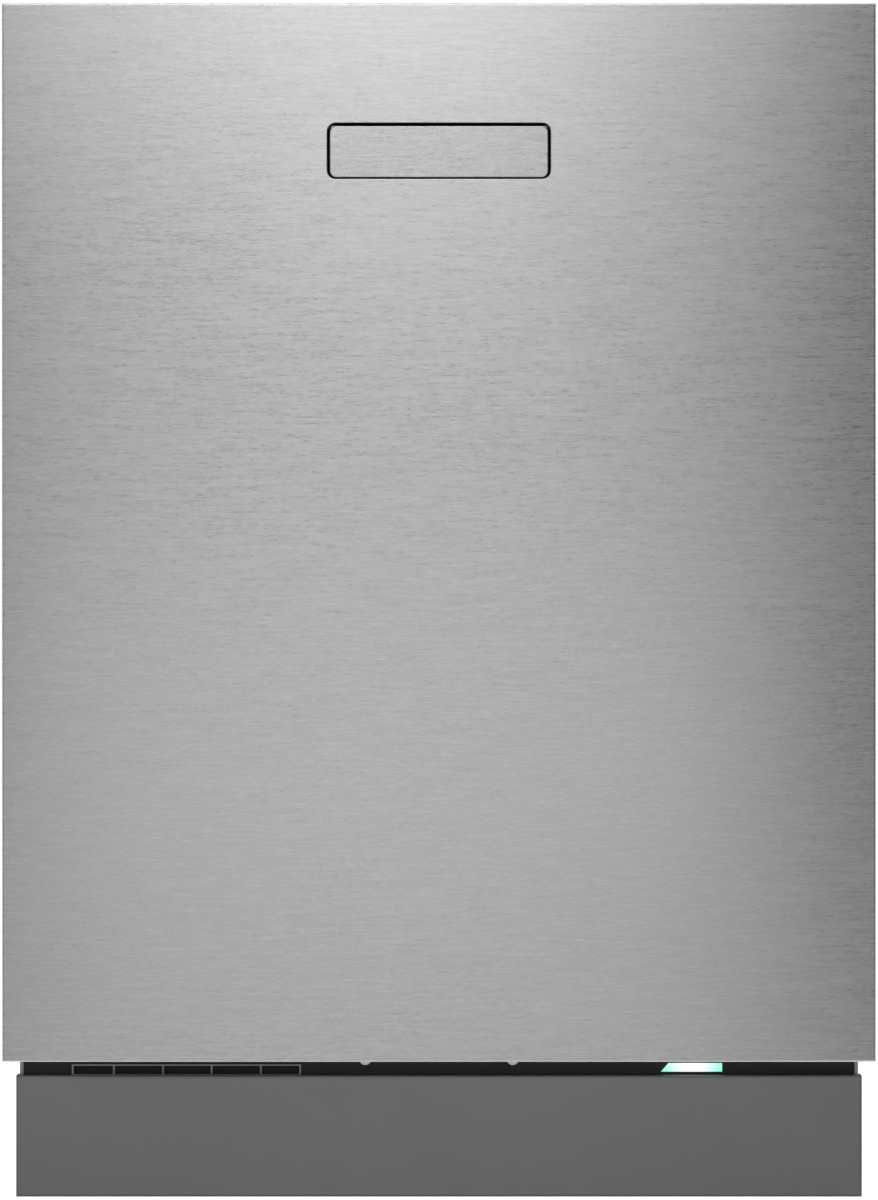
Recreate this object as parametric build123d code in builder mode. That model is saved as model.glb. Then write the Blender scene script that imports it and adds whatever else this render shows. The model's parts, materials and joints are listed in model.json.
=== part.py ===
"""Built-in dishwasher, 60 cm class, with its door, racks, spray arms and base, in millimetres.

+X is to the right, +Y to the back and +Z up. The origin is on the floor under the middle of the
machine's bounding box. The door is closed, and its outer face looks along -Y.
"""

import os
from math import cos, pi, sin

from build123d import *

os.makedirs("parts", exist_ok=True)

# Overall size
HEIGHT = 820
DEPTH = 559
DOOR_WIDTH = 596
FRONT = -DEPTH / 2
REAR = DEPTH / 2
SHEET = 1.0

# Door: a shallow outer pan, and a narrower deep-drawn liner that closes the tub
DOOR_LOW = 98
PAN_DEPTH = 22
PAN_BACK = FRONT + PAN_DEPTH
DOOR_HALF = DOOR_WIDTH / 2
PAN_INSIDE = DOOR_HALF - SHEET
LIP_WIDTH = 14
LIP_LOW = 156
LINER_HALF = 284
LINER_LOW = 114
LINER_TOP = 806
WET_FACE = -225
PIVOT_Y = -250
PIVOT_Z = 120
SCREW_HEIGHTS = (185, 275, 430, 585, 740)
SCREW_X = 288

# Handle: a rounded cut-out near the top, closed by a sprung flap hinged at its upper edge
HANDLE_WIDTH = 152.5
HANDLE_HEIGHT = 38.2
HANDLE_CORNER = 6
HANDLE_Z = 719.3
FLAP_WIDTH = 148.8
FLAP_HEIGHT = 34.9
FLAP_CORNER = 4.3
FLAP_Z = 718.8
FLAP_FACE = FRONT + 0.6
FLAP_AXIS_Y = -274.5
FLAP_AXIS_Z = FLAP_Z + FLAP_HEIGHT / 2 - 0.75
FLAP_PIN = 1.5
POCKET_BACK = -245

# Control strip along the top edge of the door
PANEL_FRONT = -270.8
PANEL_BACK = -225.2
PANEL_LOW = 807.2
PANEL_WALL = 2.5
PANEL_MID_Y = (PANEL_FRONT + PANEL_BACK) / 2
BUTTON_LENGTH = 16
BUTTON_WIDTH = 8
BUTTON_X = {"power_button": -236, "program_button": 92, "start_button": 236}
DISPLAY_X = 0
DISPLAY_LENGTH = 92
DISPLAY_WIDTH = 16

# Dispenser in the liner: cup with a sliding lid on the left, rinse-aid cap on the right
DISPENSER_X = 10
DISPENSER_Z = 425
DISPENSER_LENGTH = 200
DISPENSER_HEIGHT = 104
CUP_X = DISPENSER_X - 61
CUP_LENGTH = 62
CUP_HEIGHT = 56
DISPENSER_FACE = WET_FACE + 2.5
CAP_X = DISPENSER_X + 66
CAP_RADIUS = 18
CAP_STEM = 9

# Latch at the top middle of the door
TONGUE_Z = 799
HOOK_Y = -250
HOOK_Z = 788
HOOK_PIN = 2.5

# Tub
TUB_HALF = 268
TUB_FRONT = -222
TUB_BACK = 245
TUB_CEILING = 775
TUB_CORNER = 12
LEDGE_Z = 145
BASIN_FLOOR = 117
BASIN_X = 470
BASIN_Y = 425
BASIN_MID_Y = 12
FLANGE_HALF = 287
FLANGE_LOW = 124
FLANGE_TOP = 812
BLANKET_HALF = 281
PAD_SEAM = (764, 765)
SEAL_INSIDE = 271
SEAL_WIDTH = 10
SEAL_LOW = 140
SEAL_HIGH = 778

# Base
TRAY_HALF = 287.5
TRAY_FRONT = -216
TRAY_LOW = 20
TRAY_HIGH = 85
TRAY_WALL = 3
BASE_PANEL_FACE = -219.5
BASE_PANEL_TOP = 125
KICK_HALF = 292
KICK_FRONT = -229.5
KICK_LOW = 1
KICK_TOP = 84.5
KICK_SHEET = 1.2
FOOT_X = 262
FRONT_FOOT_Y = -190
REAR_FOOT_Y = 240
FOOT_THREAD = 5
STEM_CLEARANCE = 0.08
VENT_LEFT = -254
VENT_RIGHT = -95.5
VENT_LOW = 84
VENT_TOP = 91.6
VENT_RIM = 0.8
# left end and width of each opening of the vent: the two end ones are narrower
VENT_CELLS = ((-252.8, 27.2), (-224.4, 32.8), (-190.4, 32.5), (-156.7, 32.8), (-122.7, 26))
LIGHT_LEFT = 153.8
LIGHT_RIGHT = 195.8
LIGHT_LOW = 86.8
LIGHT_TOP = 92.6
PANEL_SCREW_X = 51
PANEL_SCREW_Z = 95

# Sump, filter and spray arms
HUB_X, HUB_Y = 0, 12
FILTER_X, FILTER_Y = 92, -48
SPINDLE = 8
SPINDLE_CLEARANCE = 0.05
LOWER_ARM_Z = 161
UPPER_ARM_Z = 461
TOP_ARM_Z = 755
FLOAT_X, FLOAT_Y = -165, -165
FLOAT_STEM = 4
DRAIN_X = 195
SPIGOT_Y = 240
SPIGOT_RADIUS = 10.5
PIPE_Z = 60
SUPPLY_Y = 238

# Racks, of bent wire
WIRE = 3.6
RIM = 5
BEND = 12
RACK_HALF = 240
CROSS_WIRES = 14
LONG_WIRES = 16
WIRE_INSET = 16
WIRE_STEP = 3.3
LONG_PITCH = 2 * (RACK_HALF - WIRE_INSET) / (LONG_WIRES - 1)
LOWER_FRONT = -203
LOWER_BACK = 205
LOWER_FLOOR = 192
LOWER_RIM = 330
WHEEL_RADIUS = 17
WHEEL_WIDTH = 11
WHEEL_X = 250
WHEEL_Z = LEDGE_Z + 0.4 + WHEEL_RADIUS
WHEEL_YS = {"front": -108, "rear": 150}
AXLE = 4
TINE_Y = 70
TINE_Z = 199.6
TINE_WIRE = 2.2
FIXED_TINE_Y = -56
UPPER_FRONT = -196
UPPER_BACK = 200
UPPER_FLOOR = 486
UPPER_RIM = 590
SHELF_Z = 575
SHELF_X = 231
SHELF_WIDTH = 92
TRAY_Z = 690
CUTLERY_HALF = 248
CUTLERY_HEIGHT = 46
CUTLERY_LENGTH = 390
CUTLERY_WALL = 2.5
GUIDE_FRONT = -210
GUIDE_BACK = 225
UPPER_GUIDE_Z = 536
CUTLERY_GUIDE_Z = 702

SIDES = (-1, 1)


def save(piece, label):
    """Name a finished piece and write it as its own STEP file."""
    piece.part.label = label
    export_step(piece.part, f"parts/{label}.step")


def block(x, y, z, mode=Mode.ADD):
    """A square-edged block between the (low, high) limits x, y and z."""
    with Locations(((x[0] + x[1]) / 2, (y[0] + y[1]) / 2, (z[0] + z[1]) / 2)):
        Box(x[1] - x[0], y[1] - y[0], z[1] - z[0], mode=mode)


def span(side, inner, outer):
    """Limits in X between two distances from the middle, on the right (+1) or the left (-1)."""
    return tuple(sorted((side * inner, side * outer)))


def rod_x(x, y, z, radius, mode=Mode.ADD):
    """A round bar along X between the limits x."""
    with Locations(Location(((x[0] + x[1]) / 2, y, z), (0, 90, 0))):
        Cylinder(radius, x[1] - x[0], mode=mode)


def rod_y(x, y, z, radius, mode=Mode.ADD):
    """A round bar along Y between the limits y."""
    with Locations(Location((x, (y[0] + y[1]) / 2, z), (90, 0, 0))):
        Cylinder(radius, y[1] - y[0], mode=mode)


def rod_z(x, y, z, radius, mode=Mode.ADD):
    """A round bar along Z between the limits z."""
    with Locations((x, y, (z[0] + z[1]) / 2)):
        Cylinder(radius, z[1] - z[0], mode=mode)


def wall_plane(y):
    """An upright plane across the machine at y: its own axes are X and Z, and it extrudes forward."""
    return Plane.XZ.offset(-y)


def upright(width, low, high, corner, mode=Mode.ADD):
    """A rounded rectangle centred on X = 0 between two heights, in a wall plane's sketch."""
    with Locations((0, (low + high) / 2)):
        RectangleRounded(width, high - low, corner, mode=mode)


# ---------------------------------------------------------------- door, outer side

with BuildPart() as door_skin:
    block((-DOOR_HALF, DOOR_HALF), (FRONT, PAN_BACK), (DOOR_LOW, HEIGHT))
    fillet(door_skin.faces().sort_by(Axis.Y)[0].edges(), radius=1.4)
    block((-PAN_INSIDE, PAN_INSIDE), (FRONT + SHEET, PAN_BACK), (DOOR_LOW + SHEET, HEIGHT - SHEET),
          Mode.SUBTRACT)
    block((-PAN_INSIDE, PAN_INSIDE), (PANEL_FRONT - 0.2, PAN_BACK), (HEIGHT - SHEET, HEIGHT), Mode.SUBTRACT)
    for side in SIDES:
        block(span(side, PAN_INSIDE - LIP_WIDTH, PAN_INSIDE), (PAN_BACK - SHEET, PAN_BACK), (LIP_LOW, PANEL_LOW - 2))
    block((-280, 280), (PAN_BACK - SHEET, PAN_BACK), (DOOR_LOW + SHEET, LINER_LOW - 3))
    with BuildSketch(wall_plane(FRONT)):
        with Locations((0, HANDLE_Z)):
            RectangleRounded(HANDLE_WIDTH, HANDLE_HEIGHT, HANDLE_CORNER)
    extrude(amount=-2 * SHEET, mode=Mode.SUBTRACT)
    front_face = door_skin.faces().filter_by(Axis.Y).sort_by(Axis.Y)[0]
    fillet(front_face.inner_wires()[0].edges(), radius=0.5)
    for side in SIDES:
        for z in SCREW_HEIGHTS:
            rod_y(side * SCREW_X, (PAN_BACK - 2, PAN_BACK + 1), z, 2.0, Mode.SUBTRACT)
save(door_skin, "door_skin")

with BuildPart() as handle_pocket:
    block((-86, 86), (FRONT + SHEET, POCKET_BACK), (676, 748))
    block((-83, 83), (FRONT + 3, POCKET_BACK - 2.5), (680, 745), Mode.SUBTRACT)
    with BuildSketch(wall_plane(FRONT)):
        with Locations((0, HANDLE_Z)):
            RectangleRounded(HANDLE_WIDTH, HANDLE_HEIGHT, HANDLE_CORNER)
    extrude(amount=-4, mode=Mode.SUBTRACT)
    for side in SIDES:
        block(span(side, 77, 83.5), (FRONT + 2.8, FLAP_AXIS_Y + 4.5), (FLAP_AXIS_Z - 5, FLAP_AXIS_Z + 5))
        rod_x(span(side, 76, 82), FLAP_AXIS_Y, FLAP_AXIS_Z, FLAP_PIN + STEM_CLEARANCE, Mode.SUBTRACT)
        block(span(side, 86, 100), (FRONT + SHEET, FRONT + 3), (690, 734))
        rod_y(side * 94, (FRONT, FRONT + 6), 712, 2.2, Mode.SUBTRACT)
save(handle_pocket, "handle_pocket")

with BuildPart() as handle_flap:
    with BuildSketch(wall_plane(FLAP_FACE)):
        with Locations((0, FLAP_Z)):
            RectangleRounded(FLAP_WIDTH, FLAP_HEIGHT, FLAP_CORNER)
    extrude(amount=-1.6)
    fillet(handle_flap.faces().sort_by(Axis.Y)[0].edges(), radius=0.5)
    low_edge = FLAP_Z - FLAP_HEIGHT / 2
    block((-66, 66), (FLAP_FACE + 1.5, FLAP_FACE + 7.4), (low_edge + 0.4, low_edge + 2))
    for side in SIDES:
        block(span(side, 71, 73.4), (FLAP_FACE + 1.5, FLAP_AXIS_Y), (low_edge + 6, FLAP_AXIS_Z - 1))
        rod_x(span(side, 71, 73.4), FLAP_AXIS_Y, FLAP_AXIS_Z, 2.6)
        rod_x(span(side, 73, 81), FLAP_AXIS_Y, FLAP_AXIS_Z, FLAP_PIN)
save(handle_flap, "handle_flap")

# ---------------------------------------------------------------- door, control strip

with BuildPart() as control_panel:
    block((-296.6, 296.6), (PANEL_FRONT, PANEL_BACK), (PANEL_LOW, HEIGHT))
    fillet(control_panel.edges().filter_by(Axis.X).group_by(Axis.Z)[-1].sort_by(Axis.Y)[-1], radius=2)
    block((-294, 294), (PANEL_FRONT + 2.4, PANEL_BACK - 2.4), (PANEL_LOW - 1, HEIGHT - PANEL_WALL),
          Mode.SUBTRACT)
    with BuildSketch(Plane.XY.offset(HEIGHT)):
        with Locations(*[(x, PANEL_MID_Y) for x in BUTTON_X.values()]):
            RectangleRounded(BUTTON_LENGTH + 1, BUTTON_WIDTH + 1, 3.2)
        with Locations((DISPLAY_X, PANEL_MID_Y)):
            RectangleRounded(DISPLAY_LENGTH - 3, DISPLAY_WIDTH - 3, 2)
    extrude(amount=-PANEL_WALL - 1, mode=Mode.SUBTRACT)
    with BuildSketch(Plane.XY.offset(HEIGHT)):
        with Locations((DISPLAY_X, PANEL_MID_Y)):
            RectangleRounded(DISPLAY_LENGTH + 0.4, DISPLAY_WIDTH + 0.4, 3.2)
    extrude(amount=-1.4, mode=Mode.SUBTRACT)
    for x in (-270, -150, 150, 270):
        rod_z(x, PANEL_MID_Y, (808.8, HEIGHT - PANEL_WALL + 0.5), 4)
save(control_panel, "control_panel")

with BuildPart() as display_window:
    with BuildSketch(Plane.XY.offset(HEIGHT - 1.4)):
        with Locations((DISPLAY_X, PANEL_MID_Y)):
            RectangleRounded(DISPLAY_LENGTH, DISPLAY_WIDTH, 3)
    extrude(amount=1.4)
save(display_window, "display_window")

with BuildPart() as control_board:
    block((-286, 286), (PANEL_MID_Y - 14, PANEL_MID_Y + 14), (807.2, 808.8))
    for x in BUTTON_X.values():
        block((x - 3, x + 3), (PANEL_MID_Y - 3, PANEL_MID_Y + 3), (808.8, 811))
    block((-42, 42), (PANEL_MID_Y - 7, PANEL_MID_Y + 7), (808.8, 816))
    for x in (-190, -120, 175, 205):
        block((x - 7, x + 7), (PANEL_MID_Y - 8, PANEL_MID_Y + 6), (808.8, 811.5))
save(control_board, "control_board")

for label, x in BUTTON_X.items():
    with BuildPart() as button:
        with BuildSketch(Plane.XY.offset(812.9)):
            with Locations((x, PANEL_MID_Y)):
                RectangleRounded(BUTTON_LENGTH - 6, BUTTON_WIDTH - 3, 1.5)
        extrude(amount=3)
        with BuildSketch(Plane.XY.offset(815.6)):
            with Locations((x, PANEL_MID_Y)):
                RectangleRounded(BUTTON_LENGTH + 3, BUTTON_WIDTH + 3, 3)
        extrude(amount=1.5)
        with BuildSketch(Plane.XY.offset(817)):
            with Locations((x, PANEL_MID_Y)):
                RectangleRounded(BUTTON_LENGTH, BUTTON_WIDTH, 2.7)
        extrude(amount=2.6)
        fillet(button.faces().sort_by(Axis.Z)[-1].edges(), radius=0.5)
    save(button, label)

# ---------------------------------------------------------------- door, wet side

with BuildPart() as door_liner:
    block((-LINER_HALF, LINER_HALF), (PAN_BACK, WET_FACE), (LINER_LOW, LINER_TOP))
    fillet(door_liner.edges().filter_by(Axis.Z).group_by(Axis.Y)[-1], radius=8)
    block((-LINER_HALF + SHEET, LINER_HALF - SHEET), (PAN_BACK, WET_FACE - 9), (LINER_LOW + SHEET, LINER_TOP + 1),
          Mode.SUBTRACT)
    block((-LINER_HALF + 9, LINER_HALF - 9), (PAN_BACK, WET_FACE - SHEET), (LINER_LOW + SHEET, LINER_TOP + 1),
          Mode.SUBTRACT)
    for side in SIDES:
        block(span(side, LINER_HALF - SHEET, 296), (PAN_BACK, PAN_BACK + SHEET), (LIP_LOW, PANEL_LOW - 2))
        for z in SCREW_HEIGHTS:
            rod_y(side * SCREW_X, (PAN_BACK - 1, PAN_BACK + 2), z, 2.0, Mode.SUBTRACT)
    with BuildSketch(wall_plane(WET_FACE)):
        with Locations((DISPENSER_X, DISPENSER_Z)):
            RectangleRounded(DISPENSER_LENGTH - 12, DISPENSER_HEIGHT - 12, 4)
        with Locations((0, TONGUE_Z)):
            RectangleRounded(24, 11, 2)
    extrude(amount=6, both=True, mode=Mode.SUBTRACT)
    for z in (235, 290, 560, 615, 670):
        with BuildSketch(wall_plane(WET_FACE - SHEET)):
            with Locations((0, z)):
                RectangleRounded(420, 14, 6.5)
        extrude(amount=-2.2)
save(door_liner, "door_liner")

with BuildPart() as door_insulation:
    block((-280, 280), (FRONT + SHEET, PAN_BACK - 2.5), (LINER_LOW + 6, 672))
    block((-272, 272), (PAN_BACK, WET_FACE - 12), (LINER_LOW + 8, DISPENSER_Z - DISPENSER_HEIGHT / 2 - 4))
save(door_insulation, "door_insulation")

with BuildPart() as door_screws:
    for side in SIDES:
        for z in SCREW_HEIGHTS:
            rod_y(side * SCREW_X, (PAN_BACK - 8, PAN_BACK + SHEET), z, 1.75)
            rod_y(side * SCREW_X, (PAN_BACK + SHEET, PAN_BACK + SHEET + 2.2), z, 3.6)
            block(span(side, SCREW_X - 2.2, SCREW_X + 2.2), (PAN_BACK + 2.2, PAN_BACK + 4), (z - 0.5, z + 0.5),
                  Mode.SUBTRACT)
            block(span(side, SCREW_X - 0.5, SCREW_X + 0.5), (PAN_BACK + 2.2, PAN_BACK + 4), (z - 2.2, z + 2.2),
                  Mode.SUBTRACT)
save(door_screws, "door_screws")

with BuildPart() as dispenser_body:
    with BuildSketch(wall_plane(DISPENSER_FACE)):
        with Locations((DISPENSER_X, DISPENSER_Z)):
            RectangleRounded(DISPENSER_LENGTH, DISPENSER_HEIGHT, 8)
    extrude(amount=DISPENSER_FACE - WET_FACE)
    block((DISPENSER_X - 92, DISPENSER_X + 92), (WET_FACE - 28, WET_FACE),
          (DISPENSER_Z - 44, DISPENSER_Z + 44))
    with BuildSketch(wall_plane(DISPENSER_FACE)):
        with Locations((CUP_X, DISPENSER_Z)):
            RectangleRounded(CUP_LENGTH, CUP_HEIGHT, 10)
    extrude(amount=24, mode=Mode.SUBTRACT)
    for z in (DISPENSER_Z - 33, DISPENSER_Z + 31):
        block((CUP_X - 34, CUP_X + 100), (DISPENSER_FACE, DISPENSER_FACE + 3.4), (z, z + 2))
    rod_y(CAP_X, (DISPENSER_FACE - 18, DISPENSER_FACE), DISPENSER_Z, CAP_STEM + STEM_CLEARANCE, Mode.SUBTRACT)
save(dispenser_body, "dispenser_body")

with BuildPart() as detergent_lid:
    with BuildSketch(wall_plane(DISPENSER_FACE + 3)):
        with Locations((CUP_X, DISPENSER_Z)):
            RectangleRounded(CUP_LENGTH + 4, 61.2, 6)
    extrude(amount=2.4)
    block((CUP_X + 18, CUP_X + 24), (DISPENSER_FACE + 2.9, DISPENSER_FACE + 4.6),
          (DISPENSER_Z - 16, DISPENSER_Z + 16))
save(detergent_lid, "detergent_lid")

with BuildPart() as rinse_aid_cap:
    rod_y(CAP_X, (DISPENSER_FACE + 0.4, DISPENSER_FACE + 2.4), DISPENSER_Z, CAP_RADIUS)
    rod_y(CAP_X, (DISPENSER_FACE - 16, DISPENSER_FACE + 0.6), DISPENSER_Z, CAP_STEM)
    block((CAP_X - 13, CAP_X + 13), (DISPENSER_FACE + 2.3, DISPENSER_FACE + 5), (DISPENSER_Z - 2, DISPENSER_Z + 2))
save(rinse_aid_cap, "rinse_aid_cap")

with BuildPart() as latch_body:
    block((-32, 32), (PAN_BACK + 0.5, WET_FACE - 4), (774, 805))
    block((-15, 15), (PAN_BACK + 1.5, WET_FACE), (780, 804.2), Mode.SUBTRACT)
    rod_x((-21, 21), HOOK_Y, HOOK_Z, HOOK_PIN + STEM_CLEARANCE, Mode.SUBTRACT)
save(latch_body, "latch_body")

with BuildPart() as latch_hook:
    rod_x((-20, 20), HOOK_Y, HOOK_Z, HOOK_PIN)
    rod_x((-6, 6), HOOK_Y, HOOK_Z, 3.6)
    block((-3.5, 3.5), (HOOK_Y, HOOK_Y + 19), (HOOK_Z - 2.5, HOOK_Z + 2))
    block((-3.5, 3.5), (HOOK_Y + 15, HOOK_Y + 19), (HOOK_Z - 2.5, TONGUE_Z - 3))
save(latch_hook, "latch_hook")

with BuildPart() as hinge_arms:
    for side in SIDES:
        inner_face = Plane.YZ.offset(min(span(side, 291, 293.5)))
        with BuildSketch(inner_face):
            with Locations(((PAN_BACK - 10), 202)):
                Rectangle(16, 196)
            with Locations((-263, 130)):
                Rectangle(26, 40)
            with Locations((PIVOT_Y, PIVOT_Z)):
                Circle(12)
            with Locations((PIVOT_Y, PIVOT_Z + 26)):
                Circle(7)
            with Locations((PIVOT_Y, PIVOT_Z + 13)):
                Rectangle(14, 26)
            with Locations((PIVOT_Y, PIVOT_Z)):
                Circle(4 + SPINDLE_CLEARANCE, mode=Mode.SUBTRACT)
        extrude(amount=2.5)
        rod_x(span(side, 293, 296.6), PIVOT_Y, PIVOT_Z + 26, 2.5)
        block(span(side, 284, 293), (PAN_BACK - 3, PAN_BACK - SHEET), (160, 298))
        for z in SCREW_HEIGHTS[:2]:
            rod_y(side * SCREW_X, (PAN_BACK - 4, PAN_BACK), z, 2.0, Mode.SUBTRACT)
save(hinge_arms, "hinge_arms")

# ---------------------------------------------------------------- tub

with BuildPart() as tub:
    with BuildSketch(wall_plane(TUB_FRONT)):
        upright(2 * TUB_HALF + 2, LEDGE_Z - SHEET, TUB_CEILING + SHEET, TUB_CORNER + SHEET)
    extrude(amount=-(TUB_BACK + SHEET - TUB_FRONT))
    with BuildSketch(wall_plane(TUB_FRONT)):
        upright(2 * FLANGE_HALF, FLANGE_LOW, FLANGE_TOP, 8)
    extrude(amount=-SHEET)
    with BuildSketch(wall_plane(TUB_FRONT)):
        upright(2 * TUB_HALF, LEDGE_Z, TUB_CEILING, TUB_CORNER)
    extrude(amount=-(TUB_BACK - TUB_FRONT), mode=Mode.SUBTRACT)
    with BuildSketch(Plane.XY.offset(BASIN_FLOOR - SHEET)):
        with Locations((0, BASIN_MID_Y)):
            RectangleRounded(BASIN_X + 2, BASIN_Y + 2, 41)
    extrude(amount=LEDGE_Z - BASIN_FLOOR + SHEET)
    with BuildSketch(Plane.XY.offset(BASIN_FLOOR)):
        with Locations((0, BASIN_MID_Y)):
            RectangleRounded(BASIN_X, BASIN_Y, 40)
    extrude(amount=40, mode=Mode.SUBTRACT)
    rod_z(HUB_X, HUB_Y, (BASIN_FLOOR - 3, BASIN_FLOOR + 3), 30, Mode.SUBTRACT)
    rod_z(FILTER_X, FILTER_Y, (BASIN_FLOOR - 3, BASIN_FLOOR + 3), 52, Mode.SUBTRACT)
    rod_z(FLOAT_X, FLOAT_Y, (BASIN_FLOOR - 0.5, BASIN_FLOOR + 8), 8)
    rod_z(FLOAT_X, FLOAT_Y, (BASIN_FLOOR - 3, BASIN_FLOOR + 10), FLOAT_STEM + STEM_CLEARANCE, Mode.SUBTRACT)
    rod_z(0, SUPPLY_Y, (LEDGE_Z - 3, LEDGE_Z + 3), 6.5, Mode.SUBTRACT)
    rod_x((-TUB_HALF - 3, -TUB_HALF + 3), 60, 250, 22, Mode.SUBTRACT)
save(tub, "tub")

with BuildPart() as tub_gasket:
    with BuildSketch(wall_plane(TUB_FRONT)):
        upright(2 * (SEAL_INSIDE + SEAL_WIDTH), SEAL_LOW - SEAL_WIDTH, SEAL_HIGH + SEAL_WIDTH, 26)
        upright(2 * SEAL_INSIDE, SEAL_LOW, SEAL_HIGH, 16, Mode.SUBTRACT)
    extrude(amount=2.6)
    fillet(tub_gasket.faces().sort_by(Axis.Y)[0].edges(), radius=1.2)
save(tub_gasket, "tub_gasket")

with BuildPart() as strike_plate:
    block((-20, 20), (TUB_FRONT - 1.4, TUB_FRONT), (791, 810))
    block((-8, 8), (TUB_FRONT - 24, TUB_FRONT), (TONGUE_Z - 2, TONGUE_Z + 2))
    block((-5, 5), (TUB_FRONT - 19, TUB_FRONT - 8), (TONGUE_Z - 3, TONGUE_Z + 3), Mode.SUBTRACT)
save(strike_plate, "strike_plate")

with BuildPart() as sound_blankets:
    with BuildSketch(wall_plane(GUIDE_FRONT)):
        upright(2 * BLANKET_HALF, 150, 806, 26)
        upright(2 * TUB_HALF + 2.6, 140, TUB_CEILING + 1.3, TUB_CORNER + 1, Mode.SUBTRACT)
    extrude(amount=-(TUB_BACK + SHEET - GUIDE_FRONT))
    block((-300, -TUB_HALF - SHEET), (-44, 164), (166, 564), Mode.SUBTRACT)
    # the pad on the roof is a separate sheet from the two side pads
    block((-300, 300), (GUIDE_FRONT - 1, REAR), PAD_SEAM, Mode.SUBTRACT)
    block((-262, 262), (TUB_BACK + SHEET + 0.3, TUB_BACK + 12), (160, 790))
save(sound_blankets, "sound_blankets")

with BuildPart() as side_water_tank:
    block((-285, -TUB_HALF - SHEET), (-40, 160), (170, 560))
    fillet(side_water_tank.edges().filter_by(Axis.X), radius=14)
    block((-283.4, -TUB_HALF - SHEET - 1.6), (-38, 158), (172, 558), Mode.SUBTRACT)
    for row, z in enumerate((230, 290, 350, 410, 470)):
        start = -38.5 if row % 2 else 0
        block((-284, -TUB_HALF - SHEET - 1), (start, start + 158.5), (z, z + 2))
    rod_x((-TUB_HALF - SHEET - 2, -TUB_HALF - 4 + SHEET), 60, 250, 20)
    rod_x((-TUB_HALF - SHEET - 3, -TUB_HALF), 60, 250, 17, Mode.SUBTRACT)
save(side_water_tank, "side_water_tank")

with BuildPart() as countertop_brackets:
    for side in SIDES:
        block(span(side, 215, 245), (TUB_FRONT + SHEET, TUB_FRONT + 2.4), (792, FLANGE_TOP + 1.4))
        block(span(side, 215, 245), (TUB_FRONT + SHEET, -186), (FLANGE_TOP, FLANGE_TOP + 1.4))
        for y in (-210, -196):
            rod_z(side * 230, y, (FLANGE_TOP - 1, FLANGE_TOP + 3), 2.25, Mode.SUBTRACT)
save(countertop_brackets, "countertop_brackets")

with BuildPart() as supply_tube:
    block((-13, 13), (SUPPLY_Y - 5, SUPPLY_Y + 5), (LEDGE_Z + 0.2, 772))
    block((-13, 13), (HUB_Y - 13, SUPPLY_Y), (763, 772))
    fillet(supply_tube.edges().filter_by(Axis.Z), radius=3)
    rod_z(0, SUPPLY_Y, (104, LEDGE_Z + 2), 6.2)
    rod_y(0, (227, SUPPLY_Y), UPPER_GUIDE_Z - 60, 13)
    rod_y(0, (226, 236), UPPER_GUIDE_Z - 60, 7, Mode.SUBTRACT)
    rod_z(HUB_X, HUB_Y, (TOP_ARM_Z - 8, 764), 6)
    rod_z(HUB_X, HUB_Y, (TOP_ARM_Z - 10.5, TOP_ARM_Z - 7.9), 9)
save(supply_tube, "supply_tube")

# ---------------------------------------------------------------- sump, filter and pumps

with BuildPart() as sump_housing:
    with BuildSketch(Plane.XY.offset(52)) as sump_outline:
        with Locations((FILTER_X, FILTER_Y)):
            Circle(60)
        with Locations((HUB_X, HUB_Y)):
            Circle(44)
        make_hull()
    extrude(amount=BASIN_FLOOR - SHEET - 52)
    rod_z(FILTER_X, FILTER_Y, (58, BASIN_FLOOR), 44, Mode.SUBTRACT)
    rod_z(HUB_X, HUB_Y, (90, BASIN_FLOOR), 24, Mode.SUBTRACT)
    rod_z(HUB_X, HUB_Y, (80, LOWER_ARM_Z - 10), 13)
    rod_z(HUB_X, HUB_Y, (LOWER_ARM_Z - 11, LOWER_ARM_Z + 8.5), SPINDLE)
    rod_z(HUB_X, HUB_Y, (LOWER_ARM_Z + 8.4, LOWER_ARM_Z + 11), SPINDLE + 3)
    rod_x((-76, -30), HUB_Y, 78, 15)
    rod_x((130, 172), FILTER_Y, PIPE_Z + 8, 12)
save(sump_housing, "sump_housing")

with BuildPart() as filter_plate:
    with BuildSketch(Plane.XY.offset(BASIN_FLOOR + 0.3)):
        with Locations((34, -16)):
            RectangleRounded(300, 236, 30)
        with Locations((34, -16)):
            with GridLocations(15, 32, 18, 6):
                SlotOverall(26, 4, rotation=90, mode=Mode.SUBTRACT)
        with Locations((FILTER_X, FILTER_Y)):
            Circle(50)
            Circle(38.4, mode=Mode.SUBTRACT)
        with Locations((HUB_X, HUB_Y)):
            Circle(22)
            Circle(13.4, mode=Mode.SUBTRACT)
    extrude(amount=1.8)
save(filter_plate, "filter_plate")

with BuildPart() as filter_cylinder:
    rod_z(FILTER_X, FILTER_Y, (64, BASIN_FLOOR + 6), 37)
    rod_z(FILTER_X, FILTER_Y, (67, BASIN_FLOOR + 7), 34.5, Mode.SUBTRACT)
    with Locations((FILTER_X, FILTER_Y, 90)):
        with PolarLocations(36, 24):
            Box(8, 2.6, 38, mode=Mode.SUBTRACT)
    with Locations((FILTER_X, FILTER_Y, BASIN_FLOOR + 4.2)):
        Cylinder(43, 3)
        Cylinder(28, 8, mode=Mode.SUBTRACT)
    for angle in (0, 90):
        with Locations(Location((FILTER_X, FILTER_Y, BASIN_FLOOR + 9), (0, 0, angle))):
            Box(66, 3, 10)
    rod_z(FILTER_X, FILTER_Y, (BASIN_FLOOR + 2.7, BASIN_FLOOR + 24), 11)
save(filter_cylinder, "filter_cylinder")

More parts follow.
